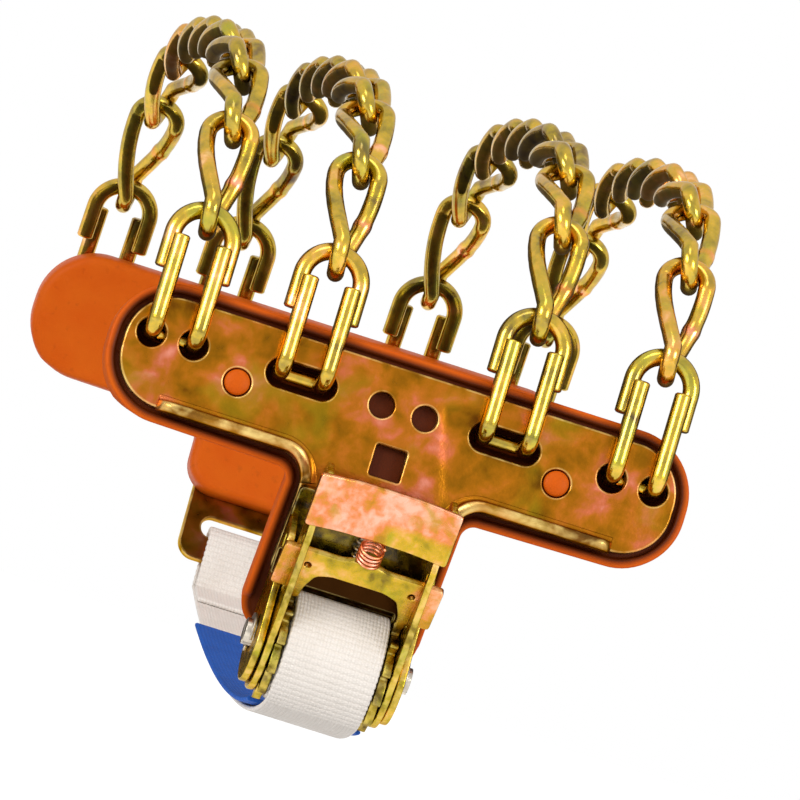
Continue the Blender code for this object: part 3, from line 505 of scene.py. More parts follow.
square = np.array(((-1, -1), (1, -1), (1, 1), (-1, 1))) * SQUARE_HALF + (0.0, SQUARE_V)
outer_loops = plate_loops(OUTER_STEM_END) + [softened(square, SQUARE_CORNER)]
outer_loops += [ring(s * SIGHT_HOLE_X, HOLE_V, SIGHT_HOLE_RADIUS) for s in (-1, 1)]
inner_loops = plate_loops(INNER_STEM_END)
inner_loops.append(obround(0.0, STRAP_SLOT_V, STRAP_SLOT_HALF, STRAP_SLOT_WIDE))
piece("outer_plate_pressing", plate(outer_loops, OUTER), zinc_sheet, "outer_base",
      "zinc_plate", "outer_plate")
piece("inner_plate_pressing", plate(inner_loops, INNER), zinc_sheet, "inner_plate",
      "zinc_plate", "inner_plate")


# Pads. One orange soft-plastic moulding behind each plate keeps the steel off what it lies on.
# A low rim frames the plate, two short tabs reach past it on the chain side, and two domed plugs
# snap through the plate. The outer pad's tongue runs on under the ratchet.
PAD_THICK, PAD_GROW, PAD_RIM, PAD_RIM_HEIGHT = 0.0065, 0.0036, 0.0023, 0.0018
PAD_GAP, PAD_STEP, PAD_NET, TRAY_EDGE = 0.0003, 0.0012, 0.0018, 0.0008
PAD_BACK = ((0.0030, 0.0), (0.0020, 0.0), (0.0011, 0.0002), (0.0004, 0.0007), (0.0, 0.0017))
PAD_OUTSIDE = ((0.0, 0.0006), (0.00012, 0.00022), (0.0005, 0.0))
PAD_INSIDE = ((-0.0005, 0.0), (-0.0001, 0.0003))
PAD_TRAY = ((0.0, 0.0003), (0.0003, 0.0), (TRAY_EDGE, 0.0))
RIM_FADES, RIM_LEFT = 0.0010, 0.02
TAB_X, TAB_HALF, TAB_REACH, TAB_SLOPE = 0.0447, 0.0062, 0.0026, 0.0020
OUTER_PAD_END, INNER_PAD_END = -0.0430, -0.0180
BARE_FOOT = 0.0090
INNER_BARE_FROM = -0.0060
POCKET_DEEP, POCKET_ROOM, POCKET_SLOPE = 0.0050, 0.0012, 0.0016
STAPLE_V = 0.0212
WIRE = 0.0045
PLUG_RISE, PLUG_ROOT, PLUG_SHOULDER = 0.0009, 0.0010, 0.0002
# The deep red-brown paints shade in the channel beside and under the plate, and is the scuffs' colour too.
PAD_ORANGE, PAD_SHADE_AND_SCUFF, PAD_PALE = (0.58, 0.086, 0.001), (0.050, 0.008, 0.001), (0.63, 0.122, 0.002)


def turned(line, sides=32):
    """A turned piece: each (place on the axis, radius) of the line goes round as a ring of points
    (axis, p, q), and a flat face closes each end."""
    around = np.linspace(0.0, 2 * math.pi, sides, endpoint=False)
    place, radius = np.asarray(line, float).T
    points = np.stack(np.broadcast_arrays(place[:, None], radius[:, None] * np.cos(around),
                                          radius[:, None] * np.sin(around)), -1)
    numbers = np.arange(place.size * sides).reshape(-1, sides)
    return shape_of(points.reshape(-1, 3), between(numbers), numbers[:1, ::-1], numbers[-1:])


dome = np.radians(np.linspace(0.0, 86.0, 7))
plug_top = PLATE_THICK - PLUG_SHOULDER + (PLUG_RISE + PLUG_SHOULDER) * np.sin(dome)
plug_shank = [(-PLUG_ROOT, PLUG_RADIUS), (PLATE_THICK - 2 * PLUG_SHOULDER, PLUG_RADIUS)]
plug_line = np.vstack((plug_shank, np.column_stack((plug_top, PLUG_RADIUS * np.cos(dome)))))


def pad(stem_end, bare_below, side):
    """Rows of the T's outline, each grown to its own width, climb from the back over the rim and down
    to the tray. Tabs bulge the outer rows, the rim sinks below bare_below, and pockets sink the tray."""
    tray_grow = PAD_GROW - PAD_RIM
    rows = np.array([(PAD_GROW - step_in, -PAD_THICK + up) for step_in, up in PAD_BACK]
                    + [(PAD_GROW - step_in, PAD_RIM_HEIGHT - down) for step_in, down in PAD_OUTSIDE]
                    + [(tray_grow - step_in, PAD_RIM_HEIGHT - down) for step_in, down in PAD_INSIDE]
                    + [(tray_grow - step_in, -PAD_GAP + up) for step_in, up in PAD_TRAY])
    which, share = cuts(tee(PAD_GROW, stem_end), PAD_STEP)
    count = len(which)
    flat = np.array([filled(tee(grow, stem_end), which, share) for grow in rows[:, 0]])
    x, v = flat[..., 0], flat[..., 1]
    bulge = eased(TAB_HALF - np.abs(np.abs(x) - TAB_X), 0.0, TAB_SLOPE)
    outside = np.clip((rows[:, :1] - PAD_GROW + PAD_RIM) / PAD_RIM, 0.0, 1.0)
    chain_side = v > BAR_HIGH + rows[:, :1] - 0.0002
    v = v + TAB_REACH * bulge * outside * chain_side
    level = np.broadcast_to(rows[:, 1:], v.shape)
    rim = RIM_LEFT + (1 - RIM_LEFT) * eased(v, bare_below - RIM_FADES, bare_below + RIM_FADES)
    level = np.where(level > -PAD_GAP, -PAD_GAP + (level + PAD_GAP) * rim, level)
    inside_rim = (rows[:, 0] < PAD_GROW - TRAY_EDGE) & (rows[:, 1] > -PAD_THICK / 2)
    numbers = np.arange(v.size).reshape(v.shape)
    points, faces = [np.stack((x, v, level), -1).reshape(-1, 3)], [between(numbers)]
    total = v.size
    # A mark for painted shade: the rim's inner wall and the tray under the plate.
    groove = [np.repeat(inside_rim.astype(float), count)]
    for row, deep in ((0, 0.0), (len(rows) - 1, POCKET_DEEP)):
        rim_line = np.column_stack((x[row], v[row]))
        net, triangles = netted([rim_line], PAD_NET)
        extra = net[count:]
        near = np.min([np.maximum(np.abs(extra[:, 0] - c) - STAPLE_X, 0.0) for c in CHAIN_X.values()], axis=0)
        off = np.hypot(near, extra[:, 1] - STAPLE_V)
        pocket = WIRE / 2 + POCKET_ROOM
        sink = deep * (1 - eased(off, pocket, pocket + POCKET_SLOPE))
        faces.append(np.concatenate((numbers[row], total + np.arange(len(extra))))[triangles])
        points.append(np.column_stack((extra, rows[row, 1] - sink)))
        groove.append(np.full(len(extra), float(row > 0)))
        total += len(extra)
    tray = shape_of(np.vstack(points), *faces, groove=np.concatenate(groove))
    plugs = [placed(turned(plug_line), lambda t, p, q, s=s: np.column_stack((s * PLUG_X + p, PLUG_V + q, t)))
             for s in (-1, 1)]
    return placed(joined(tray, *plugs), lambda x, v, h: folded(x, v, h, side))


def plastic_material():
    """Moulded orange: slightly cloudy, with a fine mould grain; its inner rim wall and the tray under the
    plate are painted deep red-brown as shade, and scuffs take the same colour.
    """
    material, tree, shader = new_finish("orange_soft_plastic")
    clouds, grain = noise(tree, 120.0, 4.0, 1.0), noise(tree, 2600.0, 2.0, 2.0)
    colour = tinted(tree, spread(tree, clouds, 0.35, 0.7, 0.0, 0.5), (*PAD_ORANGE, 1.0), (*PAD_PALE, 1.0))
    # Painted shade beside and under the plate.
    colour = tinted(tree, worked(tree, "MULTIPLY", mark(tree, "groove"), 0.92), colour, (*PAD_SHADE_AND_SCUFF, 1.0))
    scuffs = spread(tree, noise(tree, 380.0, 5.0, 4.0), 0.60, 0.78, 0.0, 0.25)
    colour = tinted(tree, scuffs, colour, (*PAD_SHADE_AND_SCUFF, 1.0))
    height = worked(tree, "ADD", grain, clouds)
    bump = node(tree, "Bump", {"Height": height, "Strength": 0.25, "Distance": 0.0003})
    feed(tree, shader, {"Base Color": colour, "Roughness": spread(tree, clouds, 0.3, 0.7, 0.40, 0.56),
                        "Specular IOR Level": 0.12, "Normal": bump.outputs["Normal"]})
    return material


orange_plastic = plastic_material()
outer_bare_from = OUTER_PAD_END - PAD_GROW + BARE_FOOT
piece("outer_pad_moulding", pad(OUTER_PAD_END, outer_bare_from, OUTER), orange_plastic,
      "outer_base", "orange_pad", "outer_pad")
piece("inner_pad_moulding", pad(INNER_PAD_END, INNER_BARE_FROM, INNER), orange_plastic,
      "inner_plate", "orange_pad", "inner_pad")


# Chains. Each starts and ends in a shackle of two bent wires: a staple that goes through the plate and
# back, and a round loop lapped behind its legs and welded there. Between them nine links of the same
# 4.5 mm zinc-plated wire, bent to an oval, butt-welded on one leg and twisted a quarter turn.
SLACK, PITCH, LINK_RADIUS, LINKS = 0.0008, 0.0296, 0.0056, 9
TWIST, CROSSING = 90.0, 81.0
STAPLE_H, STAPLE_BACK_H, STAPLE_BEND, STAPLE_CORNER, STAPLE_TIP_V = 0.00555, -0.00255, 0.0034, 0.0020, 0.0465
LOOP_X, LOOP_LOW_V = 0.0078, 0.0375
WELD_BULGE, WELD_LENGTH, WELD_TONE, WIRE_SIDES = 0.12, 0.0013, 0.14, 18
WIRE_STEP, WIRE_CHAMFER = 0.0006, 0.0004
BEAD_RADIUS, BEAD_STEPS, BEAD_BLUNT, BEAD_RIPPLE = 0.0016, 22, 0.15, 9000.0
BEAD_FROM, BEAD_TO = LOOP_LOW_V + 0.0010, STAPLE_TIP_V - 0.0012
TONE_SEED, TONE_SPREAD = 7, 0.045
wire_tones = np.random.default_rng(TONE_SEED)
zinc_wire = zinc("zinc_wire", tone=0.01, size=1.6, dents=0.0002, dull=0.6, hue=0.040, bright=1.55,
                 coat=0.55, worn=1.0)


def wire(path, radius, lie, closed=False, sides=WIRE_SIDES):
    """Round wire along a path: at each point a circle square to the path, whose first spoke is square
    to the direction lie as well. Open ends are cut flat."""
    path = np.asarray(path, float)
    ahead = headings(path, closed)
    spoke = np.cross(ahead, lie)
    spoke /= np.linalg.norm(spoke, axis=1)[:, None]
    other = np.cross(spoke, ahead)
    around = np.linspace(0.0, 2 * math.pi, sides, endpoint=False)[None, :, None]
    out = spoke[:, None] * np.cos(around) + other[:, None] * np.sin(around)
    points = path[:, None] + np.broadcast_to(radius, len(path))[:, None, None] * out
    numbers = np.arange(len(path) * sides).reshape(-1, sides)
    ends = [] if closed else [numbers[:1, ::-1], numbers[-1:]]
    return shape_of(points.reshape(-1, 3), between(numbers, wrap=closed), *ends)


def run_along(path):
    """How far along an open path each of its points lies."""
    return np.concatenate(([0.0], np.cumsum(np.linalg.norm(np.diff(path, axis=0), axis=1))))


def spaced(path, step):
    """The same open path with points at even steps along its length."""
    path = np.asarray(path, float)
    length = run_along(path)
    at = np.linspace(0.0, length[-1], max(int(round(length[-1] / step)), 2) + 1)
    return np.column_stack([np.interp(at, length, column) for column in path.T])


def cut_wire(path, lie):
    """The chain's wire with both ends cut off square and a small chamfer on the cut."""
    path = spaced(path, WIRE_STEP)
    start, stop = path[1] - path[0], path[-2] - path[-1]
    near = path[:1] + start / np.linalg.norm(start) * WIRE_CHAMFER
    far = path[-1:] + stop / np.linalg.norm(stop) * WIRE_CHAMFER
    full = np.vstack((path[:1], near, path[1:-1], far, path[-1:]))
    thick = np.full(len(full), WIRE / 2)
    thick[[0, -1]] -= WIRE_CHAMFER
    return wire(full, thick, lie)


def shackle(x, side):
    """Staple and loop in plate coordinates (x, v, h), joined by two rippled weld beads, then folded."""
    bend = arc(STAPLE_V + STAPLE_BEND, STAPLE_H - STAPLE_BEND, STAPLE_BEND, 90, 180, 10)
    corner = arc(STAPLE_X - STAPLE_CORNER, STAPLE_BACK_H + STAPLE_CORNER, STAPLE_CORNER, 0, -90, 8)
    leg = np.vstack(([(STAPLE_X, STAPLE_TIP_V, STAPLE_H)],
                     np.insert(bend, 0, STAPLE_X, axis=1), np.insert(corner, 1, STAPLE_V, axis=1)))
    staple = cut_wire(np.vstack((leg, leg[::-1] * (-1, 1, 1))), (0.58, 0.58, 0.58))
    top = np.insert(arc(0.0, LOOP_APEX_V - LOOP_X, LOOP_X, 0, 180, 30), 2, LOOP_H, axis=1)
    ends = np.array(((LOOP_X, LOOP_LOW_V, LOOP_H), (-LOOP_X, LOOP_LOW_V, LOOP_H)))
    loop = cut_wire(np.vstack((ends[:1], top, ends[1:])), (0, 0, 1))
    v = np.linspace(BEAD_FROM, BEAD_TO, BEAD_STEPS)
    round_ends = np.sqrt(np.sin(np.linspace(BEAD_BLUNT, math.pi - BEAD_BLUNT, BEAD_STEPS)))
    swell = BEAD_RADIUS * round_ends * (1 + 0.1 * np.sin(v * BEAD_RIPPLE))
    beads = []
    for sign in (-1, 1):
        middle = (sign * (LOOP_X + STAPLE_X) / 2, 0.0, (LOOP_H + STAPLE_H) / 2)
        beads.append(wire(np.outer(v, (0, 1, 0)) + middle, swell, (0, 0, 1), sides=12))
    return placed(joined(staple, loop, *beads), lambda p, v, h: folded(x + p, v, h, side))


def link(index, x, start, stop):
    """A flat oval of wire whose cross direction turns evenly along it by the twist; the wire swells
    a little at the weld in the middle of one leg."""
    ahead = (stop - start) / np.linalg.norm(stop - start)
    centre = (start + stop) / 2 + ahead * (WIRE + SLACK) / 2 * np.sign(index - (LINKS + 1) / 2)
    centre[0] = x
    across = np.array((1.0, 0.0, 0.0))
    off = np.cross(across, ahead)
    straight = PITCH + WIRE + SLACK - 2 * LINK_RADIUS
    run = np.linspace(-0.5, 0.5, 30)[1:-1, None] * (straight, 0.0)
    oval = np.vstack((arc(straight / 2, 0.0, LINK_RADIUS, -90, 90, 22), run[::-1] + (0.0, LINK_RADIUS),
                      arc(-straight / 2, 0.0, LINK_RADIUS, 90, 270, 22), run - (0.0, LINK_RADIUS)))
    u, w = oval[:, :1], oval[:, 1:]
    turn = np.radians((TWIST - CROSSING) * index - TWIST / 2 + TWIST * np.clip(u / straight, -0.5, 0.5))
    path = centre + ahead * u + (across * np.cos(turn) + off * np.sin(turn)) * w
    weld = np.exp(-(u[:, 0] / WELD_LENGTH) ** 2) * (w[:, 0] > 0.9 * LINK_RADIUS)
    lie = off * np.cos(turn) - across * np.sin(turn)
    bent = wire(path, WIRE / 2 * (1 + WELD_BULGE * weld), lie, closed=True)
    bent["marks"]["tone"] = np.repeat(WELD_TONE * weld, WIRE_SIDES)
    return bent


def toned(shape, tone=None):
    """The shape with one tone of the film over the whole piece, a seeded one if none is given, added to
    any tone that is already marked on it."""
    tone = wire_tones.normal(0.0, TONE_SPREAD) if tone is None else tone
    shape["marks"]["tone"] = shape["marks"].get("tone", np.zeros(len(shape["points"]))) + tone
    return shape


stations = [hinges[f"link_b{index}_swing"] for index in range(1, LINKS + 1)]
stations = [spot * (0, 1, 1) for spot in stations + [stations[0] * (1, -1, 1)]]
for letter, x in CHAIN_X.items():
    outer_name, inner_name = "outer_shackle_" + letter, "inner_shackle_" + letter
    piece(outer_name + "_wire", toned(shackle(x, OUTER)), zinc_wire, outer_name, "zinc_wire", outer_name)
    for index in range(1, LINKS + 1):
        name = f"link_{letter}{index}"
        piece(name + "_wire", toned(link(index, x, stations[index - 1], stations[index])), zinc_wire,
              name, "zinc_wire", name)
    piece(inner_name + "_wire", toned(shackle(x, INNER)), zinc_wire, inner_name, "zinc_wire", inner_name)


# Ratchet frame. A channel of 2 mm zinc-plated sheet riveted to the stem: a base, two side walls that
# the spool turns in, and a seat for the lock pawl's spring.
SPOOL_V, SPOOL_H = -0.0408, 0.0165
JOURNAL_RADIUS, SPOOL_RADIUS, SPOOL_HALF = 0.0035, 0.0047, 0.0222
FRAME_FROM, FRAME_TO, FRAME_BASE, FRAME_DISC = 0.0178, 0.0198, 0.0020, 0.0125
FRAME_LOW, FRAME_HIGH, WALL_HEEL, WALL_TOE = -0.0290, -0.0030, 0.0080, 0.0040
WALL_EDGE = ((-0.0110, 0.0070), (-0.0130, 0.0155), (-0.0255, 0.0190))
SEAT_V, SEAT_HALF, SEAT_THICK, SEAT_HIGH = -0.0055, 0.0050, 0.0020, 0.0115
LOCK_ANGLE, LOCK_THICK, LOCK_REAR, LOCK_TRAVEL = math.radians(-12.0), 0.0022, 0.0235, 0.0032
WHEEL_TIP = 0.0157
RIVET_X, RIVET_V, RIVET_RADIUS, RIVET_RISE = 0.0105, (-0.0075, -0.0245), 0.0030, 0.0014
WALL_ROUND, BASE_ROUND, FIT = 0.0022, 0.0015, 0.0003
zinc_ratchet = zinc("zinc_ratchet", tone=0.01, size=2.2, dents=0.0003, dull=0.8, hue=0.042, bright=1.3,
                    coat=0.2, worn=0.45)


def on_stem(x, v, h):
    """A ratchet point in the frame: the flat stem's own tilted plane, carried on past the fold."""
    along = v + FOLD_RADIUS * STEM_TILT
    y = FOLD_Y - (FOLD_RADIUS + h) * math.cos(STEM_TILT) - along * math.sin(STEM_TILT)
    z = FOLD_Z - (FOLD_RADIUS + h) * math.sin(STEM_TILT) + along * math.cos(STEM_TILT)
    return np.stack(np.broadcast_arrays(x, y, z), axis=-1)


def spun(angle, reach, off=0.0):
    """(v, h) at a distance from the spool's axis along an angle from the stem, and off to its side."""
    return (SPOOL_V + reach * np.cos(angle) - off * np.sin(angle),
            SPOOL_H + reach * np.sin(angle) + off * np.cos(angle))


def slot_along(angle, near, far, half):
    """A slot with round corners along an angle from the spool's axis."""
    ends = ((near, -half), (far, -half), (far, half), (near, half))
    return softened([spun(angle, reach, off) for reach, off in ends], half * 0.9)


def oblong(low, high):
    """The four corners of an oblong, from its lower left and upper right ones."""
    return [low, (high[0], low[1]), high, (low[0], high[1])]


def upright(loops, low, thick, edge=0.0004):
    """A sheet standing square to x: its outline in (v, h), its thickness along x from low."""
    return placed(pressed(loops, thick, edge), lambda v, h, t: on_stem(low + t, v, h))


frame_floor = PLATE_THICK + FIT
wall_corners = np.vstack((arc(SPOOL_V, SPOOL_H, FRAME_DISC, 75, 255, 24),
                          [(SPOOL_V + WALL_HEEL, frame_floor + 0.0010), (FRAME_LOW + WALL_TOE, frame_floor),
                           (WALL_EDGE[0][0], frame_floor)], WALL_EDGE))
wall_loops = [softened(wall_corners, WALL_ROUND), ring(SPOOL_V, SPOOL_H, JOURNAL_RADIUS + FIT),
              slot_along(LOCK_ANGLE, WHEEL_TIP, LOCK_REAR + LOCK_TRAVEL + FIT, LOCK_THICK / 2 + FIT)]
frame_shapes = [upright(wall_loops, low, FRAME_TO - FRAME_FROM) for low in (-FRAME_TO, FRAME_FROM)]
base_corners = oblong((-FRAME_TO, FRAME_LOW), (FRAME_TO, FRAME_HIGH))
# The frame base is toned darker as painted shade inside the channel.
frame_floor_sheet = toned(pressed([softened(base_corners, BASE_ROUND)], FRAME_BASE), STEM_PAINTED_SHADE)
frame_shapes.append(placed(frame_floor_sheet, lambda x, v, t: on_stem(x, v, frame_floor + t)))
seat_corners = oblong((-SEAT_HALF, frame_floor), (SEAT_HALF, SEAT_HIGH))
frame_shapes.append(placed(pressed([softened(seat_corners, BASE_ROUND)], SEAT_THICK),
                           lambda x, h, t: on_stem(x, SEAT_V - SEAT_THICK / 2 + t, h)))
rivet_top = frame_floor + FRAME_BASE + RIVET_RISE * np.sin(dome)
rivet_line = np.vstack(([(frame_floor, RIVET_RADIUS)],
                        np.column_stack((rivet_top, RIVET_RADIUS * np.cos(dome)))))
for sign in (-1, 1):
    for v in RIVET_V:
        frame_shapes.append(placed(turned(rivet_line, 20),
                                   lambda t, p, q: on_stem(sign * RIVET_X + p, v + q, t)))
piece("ratchet_frame_channel", joined(*frame_shapes), zinc_ratchet, "outer_base",
      "zinc_ratchet", "ratchet_frame")


# Spool. Two half-round steel bars side by side with the strap gripped between them; they turn in the
# frame's walls, carry the two toothed wheels, and are held by a spring clip at each end.
SPLIT_HALF, SPOOL_TURN = 0.0004, math.radians(130.0)
WHEEL_FROM, WHEEL_TO, WHEEL_ROOT, TEETH = 0.0130, 0.0152, 0.0125, 12
TOOTH_START, RAMP, TIP_WIDTH, WHEEL_TONE = -17.8, 26.0, 2.0, -0.13
HANDLE_FROM, HANDLE_TO = 0.0156, 0.0174
CLIP_THICK, CLIP_IN, CLIP_OUT, CLIP_GAP = 0.0008, 0.0034, 0.0052, 40.0
BAR_EDGE = 0.0002
STEEL_PALE, STEEL_DULL = (0.62, 0.56, 0.46), (0.36, 0.32, 0.27)


def steel_material():
    """Bright drawn steel wire and bar: pale, faintly yellow, with fine dull patches."""
    material, tree, shader = new_finish("bright_drawn_steel")
    patches, grain = noise(tree, 300.0, 4.0, 5.0), noise(tree, 2200.0, 2.0, 6.0)
    colour = ramp(tree, patches, (0.35, STEEL_DULL), (0.62, STEEL_PALE))
    bump = node(tree, "Bump", {"Height": grain, "Strength": 0.2, "Distance": 0.0002})
    feed(tree, shader, {"Base Color": colour, "Roughness": spread(tree, patches, 0.3, 0.7, 0.38, 0.22),
                        "Normal": bump.outputs["Normal"], "Metallic": 1.0})
    return material


bright_steel = steel_material()


def half_bar(radius, side):
    """Outline (v, h) of one half-round bar: an arc closed by a flat just off the split."""
    lean = math.degrees(math.asin(SPLIT_HALF / radius))
    turn = math.degrees(SPOOL_TURN) + (0.0 if side > 0 else 180.0)
    return arc(SPOOL_V, SPOOL_H, radius, turn + lean, turn + 180.0 - lean, 28)


clip_from = math.degrees(SPOOL_TURN) + CLIP_GAP
clip_to = math.degrees(SPOOL_TURN) + 360 - CLIP_GAP
clip = np.vstack((arc(SPOOL_V, SPOOL_H, CLIP_OUT, clip_from, clip_to, 40),
                  arc(SPOOL_V, SPOOL_H, CLIP_IN, clip_to, clip_from, 40)))
spool_shapes = []
for side in (-1, 1):
    spool_shapes.append(upright([half_bar(SPOOL_RADIUS, side)], -HANDLE_TO, 2 * HANDLE_TO, BAR_EDGE))
    spool_shapes.append(upright([half_bar(JOURNAL_RADIUS, side)], -SPOOL_HALF, 2 * SPOOL_HALF, BAR_EDGE))
    low = FRAME_TO + FIT if side > 0 else -FRAME_TO - FIT - CLIP_THICK
    spool_shapes.append(upright([clip], low, CLIP_THICK, BAR_EDGE))
piece("spool_bars", joined(*spool_shapes), bright_steel, "spool", "bright_steel", "spool")

tooth = np.arange(TEETH)[:, None] * 360.0 / TEETH + TOOTH_START
tooth_turn = tooth + np.array((0.0, RAMP / 2, RAMP, RAMP + TIP_WIDTH))
tooth_reach = WHEEL_ROOT + (WHEEL_TIP - WHEEL_ROOT) * np.array((0.0, 0.5, 1.0, 1.0))
tooth_reach = np.broadcast_to(tooth_reach, tooth_turn.shape)
teeth = np.stack(spun(np.radians(tooth_turn), tooth_reach), -1).reshape(-1, 2)
wheel_loops = [teeth, ring(SPOOL_V, SPOOL_H, SPOOL_RADIUS + FIT)]
for label, low in (("left", -WHEEL_TO), ("right", WHEEL_FROM)):
    wheel = toned(upright(wheel_loops, low, WHEEL_TO - WHEEL_FROM, BAR_EDGE), WHEEL_TONE)
    piece(f"toothed_wheel_{label}", wheel, zinc_ratchet, "spool", "zinc_ratchet", "ratchet_wheel_" + label)


# Lock pawl. A bar stamped from zinc-plated sheet, lying across the frame with its ends in the walls'
# slots. A small coil spring of bright steel wire slides it into the wheels' teeth.
LOCK_HALF, LOCK_EAR, LOCK_WAIST, LOCK_TIP, LOCK_ROUND = 0.0208, 0.0164, 0.0157, 0.0134, 0.0008
LOCK_SPRING_END, LOCK_COILS, LOCK_SPRING_RADIUS = 0.0340, 5, 0.0021
SPRING_WIRE, PAWL_EDGE, LOCK_PAINTED_SHADE = 0.0004, 0.0003, -0.45


def along_spool(shape, angle, thick):
    """A flat piece drawn as (x, distance from the spool's axis), set along an angle from the stem."""
    def place(x, reach, t):
        v, h = spun(angle, reach, t - thick / 2)
        return on_stem(x, v, h)
    return placed(shape, place)


def mirrored(right):
    """A whole outline from its right half, listed from the middle outward and round to the middle."""
    right = np.asarray(right, float)
    return np.vstack((right, right[::-1] * (-1.0, 1.0)))


def coil(angle, radius, start, stop, coils):
    """A spring: a helix along an angle from the spool's axis, a step out for each turn, flat at its ends."""
    turn = np.linspace(0.0, 2 * math.pi * coils, coils * 40 + 1)
    reach = start + SPRING_WIRE + (stop - start - 2 * SPRING_WIRE) * turn / turn[-1]
    v, h = spun(angle, reach, radius * np.sin(turn))
    first, second = on_stem(0.0, *spun(angle, np.array((0.0, 1.0))))
    return wire(on_stem(radius * np.cos(turn), v, h), SPRING_WIRE, second - first, sides=10)


def spring_ends(angle, fixed, moving):
    """The two points on a spring's axis where its fixed and its moving end stand."""
    return [on_stem(0.0, *spun(angle, reach)).tolist() for reach in (fixed, moving)]


lock_outline = mirrored([(WHEEL_FROM, LOCK_WAIST), (WHEEL_FROM, LOCK_TIP), (WHEEL_TO + FIT, LOCK_TIP),
                         (WHEEL_TO + FIT, LOCK_EAR), (LOCK_HALF, LOCK_EAR), (LOCK_HALF, LOCK_REAR)])
# The lock pawl is toned nearly black and takes the uncoated sheet finish: painted shade deep in the frame.
lock_flat = toned(pressed([softened(lock_outline, LOCK_ROUND)], LOCK_THICK, PAWL_EDGE), LOCK_PAINTED_SHADE)
piece("lock_pawl_bar", along_spool(lock_flat, LOCK_ANGLE, LOCK_THICK), zinc_sheet, "lock_pawl",
      "zinc_ratchet", "lock_pawl")
lock_coil = coil(LOCK_ANGLE, LOCK_SPRING_RADIUS, LOCK_REAR + FIT, LOCK_SPRING_END, LOCK_COILS)
lock_ends = spring_ends(LOCK_ANGLE, LOCK_SPRING_END, LOCK_REAR)
piece("lock_pawl_coil", lock_coil, bright_steel, ("outer_base", "lock_pawl", *lock_ends),
      "bright_steel", "lock_pawl_spring")


# Handle. Two side arms of 1.8 mm zinc-plated sheet on the spool, and a cross grip bent in three flats.
# The drive pawl, a butterfly plate in the arms' slots, pushes the wheels; a coil spring holds it in.
HANDLE_DISC, SHEET, ARM_ROUND = 0.0140, 0.0018, 0.0016
GRIP_LOW, GRIP_HIGH, GRIP_HALF = -0.0032, 0.0114, 0.0187
GRIP_FLAT, GRIP_TOP, GRIP_SIDE = 0.0090, 0.0272, 0.0296
GRIP_BEND, GRIP_STEP, GRIP_ROUND, GRIP_EDGE, GRIP_NET = 0.0030, 0.0002, 0.0012, 0.0005, 0.0009
GRIP_TONE, SPRING_TONE, PAWL_TONE = 0.20, 0.25, -0.01
ARM_EDGE = ((0.0114, 0.0195), (0.0114, 0.0283), (-0.0032, 0.0283), (-0.0060, 0.0294), (-0.0265, 0.0303))
DRIVE_ANGLE, DRIVE_THICK, DRIVE_TIP = math.radians(17.0), 0.0020, 0.0160
DRIVE_EAR, DRIVE_EAR_X = (0.0185, 0.0318), 0.0212
DRIVE_TAIL, DRIVE_BACK, DRIVE_TONGUE, DRIVE_ROUND = 0.0328, 0.0318, 0.0030, 0.0012
DRIVE_TRAVEL_OUT, DRIVE_TRAVEL_IN = 0.0030, 0.0018
SCALLOP = ((0.0070, 0.0256), (0.0108, 0.0243), (0.0126, 0.0200))
DIMPLE_X, DIMPLE_REACH, DIMPLE_RADIUS = 0.0139, 0.0272, 0.0009
PAWL_EAR, PAWL_EAR_X = 0.12, (0.0110, 0.0160)
GREEN_TONE, GREEN_ALONG, GREEN_UP = -0.19, (0.46, 0.62), (0.0010, 0.0048)
DRIVE_SPRING_RADIUS, DRIVE_SPRING_END, DRIVE_COILS = 0.0030, 0.0386, 4

arm_corners = np.vstack((arc(SPOOL_V, SPOOL_H, HANDLE_DISC, 80, 356, 40), ARM_EDGE))
ear_low, ear_high = DRIVE_EAR
arm_loops = [softened(arm_corners, ARM_ROUND), ring(SPOOL_V, SPOOL_H, SPOOL_RADIUS + FIT),
             slot_along(DRIVE_ANGLE, ear_low - DRIVE_TRAVEL_IN - FIT, ear_high + DRIVE_TRAVEL_OUT + FIT,
                        DRIVE_THICK / 2 + FIT)]
handle_shapes = [upright(arm_loops, low, HANDLE_TO - HANDLE_FROM) for low in (-HANDLE_TO, HANDLE_FROM)]
grip_corners = mirrored([(GRIP_HALF, GRIP_SIDE), (GRIP_FLAT, GRIP_TOP)])[::-1]
grip_line = spaced(softened(grip_corners, GRIP_BEND, closed=False), GRIP_STEP)
grip_at = run_along(grip_line)
grip_off = headings(grip_line) @ np.array(((0.0, -1.0), (1.0, 0.0)))


def bent_grip(s, v, t):
    """A point of the flat grip carried onto its bent line: s along the line, t down from its top."""
    x, h, off_x, off_h = (np.interp(s, grip_at, column) for column in (*grip_line.T, *grip_off.T))
    down = np.where(grip_off[0, 1] < 0, t, -t)
    return on_stem(x + off_x * down, v, h + off_h * down)


grip_flat = softened(oblong((0.0, GRIP_LOW), (grip_at[-1], GRIP_HIGH)), GRIP_ROUND)
grip = pressed([grip_flat], SHEET, GRIP_EDGE, GRIP_NET)
grip_s, grip_v = grip["points"][:, :2].T
greened = eased(grip_s / grip_at[-1], *GREEN_ALONG) * (1 - eased(grip_v, *GREEN_UP))
grip["marks"]["tone"] = GRIP_TONE + GREEN_TONE * greened
handle_shapes.append(placed(grip, bent_grip))
piece("ratchet_handle_sheet", joined(*handle_shapes), zinc_ratchet, "handle",
      "zinc_ratchet", "ratchet_handle")

